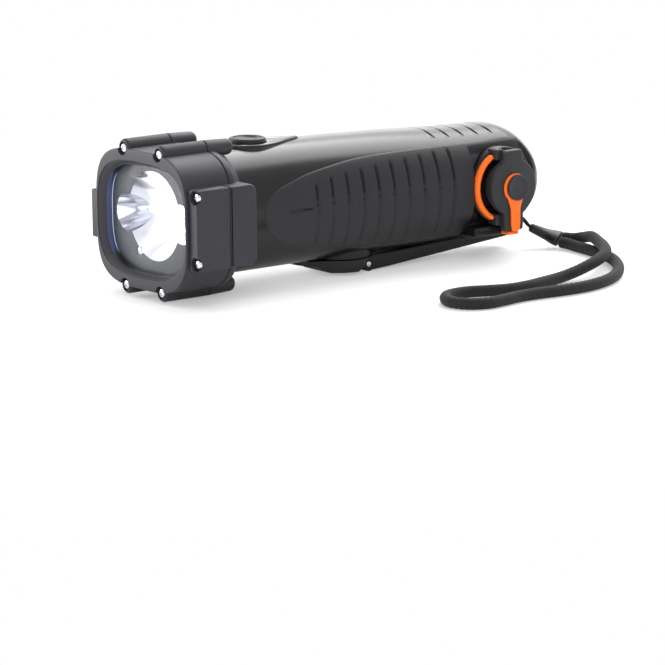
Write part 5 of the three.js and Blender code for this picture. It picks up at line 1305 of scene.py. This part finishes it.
# %% [markdown]
# The charging bay is closed by a round rubber cover with an ear above and below. An orange bead runs
# round its front half, and an orange tether is hooked behind a knob on the cover and clipped into a
# foot below. Cover and tether are outlines by angle: the farthest of a circle and some bars, blurred a
# little round the circle, which rounds each corner and fills each joint as a mould does.

# %% Charging port
ARC_HALF, COVER_SHIFT, KNOB_SHIFT, STOP_PLACE, STOP_HALF = 66.0, 0.9, 1.3, 13.0, 2.2
BEAD_REACH, BEAD_WIDE, BEAD_FACE, BEAD_TALL = 13.6, 1.1, 22.9, 1.5


def bars(turn, circle, *straights, blur=3.0):
    """The farther of a circle and convex bars, smoothed: each bar is (direction, half width, end, slope)."""
    reach = np.full(turn.shape, float(circle))
    for direction, half, end, slope in straights:
        off = np.abs((turn - direction + math.pi) % (2 * math.pi) - math.pi)
        along, across = np.cos(off), np.sin(off)
        to_side = (half + slope * end) / np.maximum(across + slope * along, 1e-6)
        bar = np.minimum(end / np.maximum(along, 1e-6), to_side)
        reach = np.maximum(reach, np.where(off < math.pi / 2, bar, 0))
    width = np.arange(-12, 13)
    weight = np.exp(-(width / blur) ** 2)
    weight /= weight.sum()
    return sum(w * np.roll(reach, k) for w, k in zip(weight, width))


cover_turn = steps(0, 2 * math.pi, 385)[:-1]
UP, DOWN = math.pi / 2, 1.5 * math.pi


def port_outline(reach):
    across, up = reach * np.cos(cover_turn), reach * np.sin(cover_turn)
    return np.stack([PORT_Y + COVER_SHIFT + across, PORT_Z + up], axis=-1)


cover_shape = port_outline(bars(cover_turn, 11.4, (UP, 4.4, 14.7, 0.12), (DOWN, 4.8, 17.5, 0.0)))
port_cover = prism("cover_disc", cover_shape, "x", 24.9, 28.5, edge=0.8, rows=5, crisp=50.0)
plug = pin("plug", 9.6, 22.9, 25.5, "x", (0, PORT_Y, PORT_Z), edge=0.4, around=96)
dress(carve(port_cover, plug, operation="UNION", crisp=40.0), "cover", "cover_rubber", "port_cover")

knob_profile = [
    (3.2, 28.5), (3.2, 29.6), (4.8, 29.65), (5.15, 29.9), (5.2, 30.2), (5.16, 30.6), (4.9, 30.85), (4.55, 30.9),
    (4.3, 30.86), (4.1, 30.76), (2.0, 30.75), (0.1, 30.75),
]
knob = skin("cover_button", lathe(knob_profile, "x", (0, PORT_Y + KNOB_SHIFT, PORT_Z), 72), flat_ends=True)
dress(knob, "cover", "cover_rubber", "cover_knob")

tether_reach = bars(cover_turn, 5.7, (DOWN, 2.2, 17.5, 0.0), (DOWN, 2.2, 8.5, 0.38), blur=3.0)
tether_line = port_outline(tether_reach) + (0.1, -0.2)
tether = prism("tether_strap", tether_line, "x", 28.52, 29.5, edge=0.3, rows=4, crisp=50.0)
tether = carve(tether, pin("eye", 3.5, 27.0, 31.0, "x", (0, PORT_Y, PORT_Z)), crisp=50.0)
dress(tether, "cover", "orange_rubber", "cover_tether")
foot_line = box_outline(PORT_Y - 1.7, PORT_Y + 3.5, -20.7, -19.3, (0.6,) * 4)
dress(prism("tether_clip", foot_line, "x", 12.9, 28.0, edge=0.5), "root", "orange_rubber", "tether_foot")
ledge_line = box_outline(PORT_Y - 15, PORT_Y + 3.4, -21.0, -17.0, (1.0,) * 4)
dress(prism("port_ledge", ledge_line, "x", 8.0, 23.4, edge=0.6), "root", "barrel_plastic")
for word, side in (("upper", 1), ("lower", -1)):
    z = PORT_Z + side * STOP_PLACE
    stop_line = box_outline(PORT_Y - 6.0, PORT_Y - 2.0, z - STOP_HALF, z + STOP_HALF, (0.7,) * 4)
    dress(prism("bead_stop_" + word, stop_line, "x", 20.0, 25.6, edge=0.5), "root", "cover_rubber")


def bead():
    """The orange bead: a rounded section carried along an arc about the port, thinning at both ends."""
    arc = np.radians(steps(180 - ARC_HALF, 180 + ARC_HALF, 90))
    section = np.radians(steps(0, 360, 25)[:-1])
    end = np.minimum(1, np.minimum(arc - arc[0], arc[-1] - arc) / 0.1)
    swell = np.sqrt(np.maximum(1 - (1 - end) ** 2, 0.02))[:, None]
    full = lambda value: np.sign(value) * np.abs(value) ** 0.8 * swell
    reach, x = BEAD_REACH + BEAD_WIDE * full(np.cos(section)), BEAD_FACE + BEAD_TALL * full(np.sin(section))
    y, z = PORT_Y + reach * np.cos(arc)[:, None], PORT_Z + reach * np.sin(arc)[:, None]
    return np.stack([np.broadcast_to(x, y.shape), y, z], axis=-1)


dress(skin("orange_bead", bead(), crisp=50.0), "root", "orange_rubber", "port_gasket")
boss = pin("port_boss", 15.4, 11.5, 22.3, "x", (0, PORT_Y, PORT_Z), edge=0.6, around=128)
dress(carve(boss, bay()), "root", "barrel_plastic")
print("port pieces done")

# %% [markdown]
# The crank lies folded under the barrel. Its hub is a drum with a thin nose, its arm a flat bar with a
# forked end on a bright hinge pin. Seen from the side and from above they are two simple outlines, so
# each is the common part of two prisms, which is how such a part is drawn on paper too.

# %% Crank
HUB_TOP, HUB_BOTTOM, HINGE_Y, HINGE_Z, KNUCKLE = -24.9, -29.6, 102.5, -28.2, 2.8
FORK_ROOM = HINGE_Y - KNUCKLE - FIT
ARM_TIP, ARM_BOTTOM, FORK_HALF, FORK_SLOT, TIP_HALF = 178.6, -30.7, 8.2, 3.2, 5.4
TONGUE_HALF, PIN_RADIUS = 2.9, 1.15

base = pin("crank_seat", CRANK_RADIUS, -24.6, -18.2, "z", (0, CRANK_Y, 0), edge=0.5, around=96)
dress(base, "root", "crank_plastic", "crank_base")

hub_side = [
    (71.0, HUB_TOP), (71.0, -25.6), (80.0, -27.2), (81.0, -28.6), (84.0, HUB_BOTTOM), (FORK_ROOM, HUB_BOTTOM),
    (HINGE_Y, ARM_BOTTOM), (HINGE_Y + 1.8, -30.0), (HINGE_Y + 2.5, HINGE_Z), (HINGE_Y + 1.8, -26.4),
    (HINGE_Y, HUB_TOP),
]
hub_plan = np.concatenate([
    round_corner((0, CRANK_Y), CRANK_RADIUS, -30, 210, 64),
    np.array([(-6.6, 82.6), (-5.0, 79.2), (-4.4, 75.4)]),
    round_corner((0, 75.4), 4.4, 180, 360, 20)[1:-1],
    np.array([(4.4, 75.4), (5.0, 79.2), (6.6, 82.6)]),
])
hub = prism("hub_drum", hub_side, "x", -15, 15)
plan = prism("plan", hub_plan, "z", -40, HUB_TOP + 0.01)
tongue = prism("tongue", box_outline(-TONGUE_HALF, TONGUE_HALF, 96, 108), "z", -40, HUB_TOP + 0.02)
hub = carve(hub, carve(plan, tongue, operation="UNION"), operation="INTERSECT")
ramp = [(FORK_ROOM - 5.2, -40), (115, -40), (115, -20), (FORK_ROOM, -20), (FORK_ROOM, -26.5)]
ramp += [(FORK_ROOM - 5.2, HUB_BOTTOM)]
hub = carve(
    hub, prism("fork", ramp, "x", TONGUE_HALF, 20), prism("fork", ramp, "x", -20, -TONGUE_HALF),
    pin("shaft_room", 2.8, -26.9, -20, "z", (0, CRANK_Y, 0)),
    pin("screw_room", 2.7, -40, -28, "z", (0, CRANK_Y, 0)),
    pin("pin_room", PIN_RADIUS + FIT, -12, 12, "x", (0, HINGE_Y, HINGE_Z)),
)
dress(soften(hub, 0.4), "crank", "crank_plastic", "crank_hub")

fork_end = HINGE_Y + 8.8
arm_side = [(HINGE_Y + 1.4, -25.1), (ARM_TIP, -23.0), (ARM_TIP, -25.6)]
arm_side += [(fork_end, -30.2), (HINGE_Y, ARM_BOTTOM)]
arm_plan = np.concatenate([
    [(-FORK_HALF, HINGE_Y - KNUCKLE), (FORK_HALF, HINGE_Y - KNUCKLE), (FORK_HALF, fork_end)],
    [(TIP_HALF * math.cos(a), ARM_TIP - 5 + 5 * math.sin(a)) for a in steps(0, math.pi, 32)],
    [(-FORK_HALF, fork_end)],
])
arm = prism("folding_arm", arm_side, "x", -FORK_HALF - 1, FORK_HALF + 1)
arm = carve(arm, prism("plan", arm_plan, "z", -40, -20), operation="INTERSECT")
arm = carve(arm, pin("knuckle", KNUCKLE, -FORK_HALF, FORK_HALF, "x", (0, HINGE_Y, HINGE_Z)), operation="UNION")
arm = carve(
    arm, prism("slot", box_outline(-FORK_SLOT, FORK_SLOT, 90, HINGE_Y + 8.2), "z", -40, -20),
    pin("pin_room", PIN_RADIUS + FIT, -12, 12, "x", (0, HINGE_Y, HINGE_Z)),
    pin("knob_room", 1.3, -40, -20, "z", (0, KNOB_Y, 0)), crisp=30.0,
)
dress(soften(arm, 0.4), "arm", "crank_plastic", "crank_arm")
pin_half = FORK_HALF + 0.1
hinge = pin("bright_hinge_pin", PIN_RADIUS, -pin_half, pin_half, "x", (0, HINGE_Y, HINGE_Z), edge=0.25)
dress(hinge, "arm", "bright_screw", "hinge_pin")
knob_side = [
    (1.35, -22.4), (3.9, -22.4), (4.4, -22.1), (4.5, -21.6), (3.9, -20.2), (3.6, -18.6), (3.9, -17.0),
    (4.5, -15.6), (4.4, -15.1), (3.9, -14.8), (1.35, -14.8),
]
spinner = skin("crank_spinner", lathe(knob_side, "z", (0, KNOB_Y, 0), 64), loop=True)
dress(spinner, "arm_knob", "crank_plastic", "crank_knob")
print("crank pieces done")
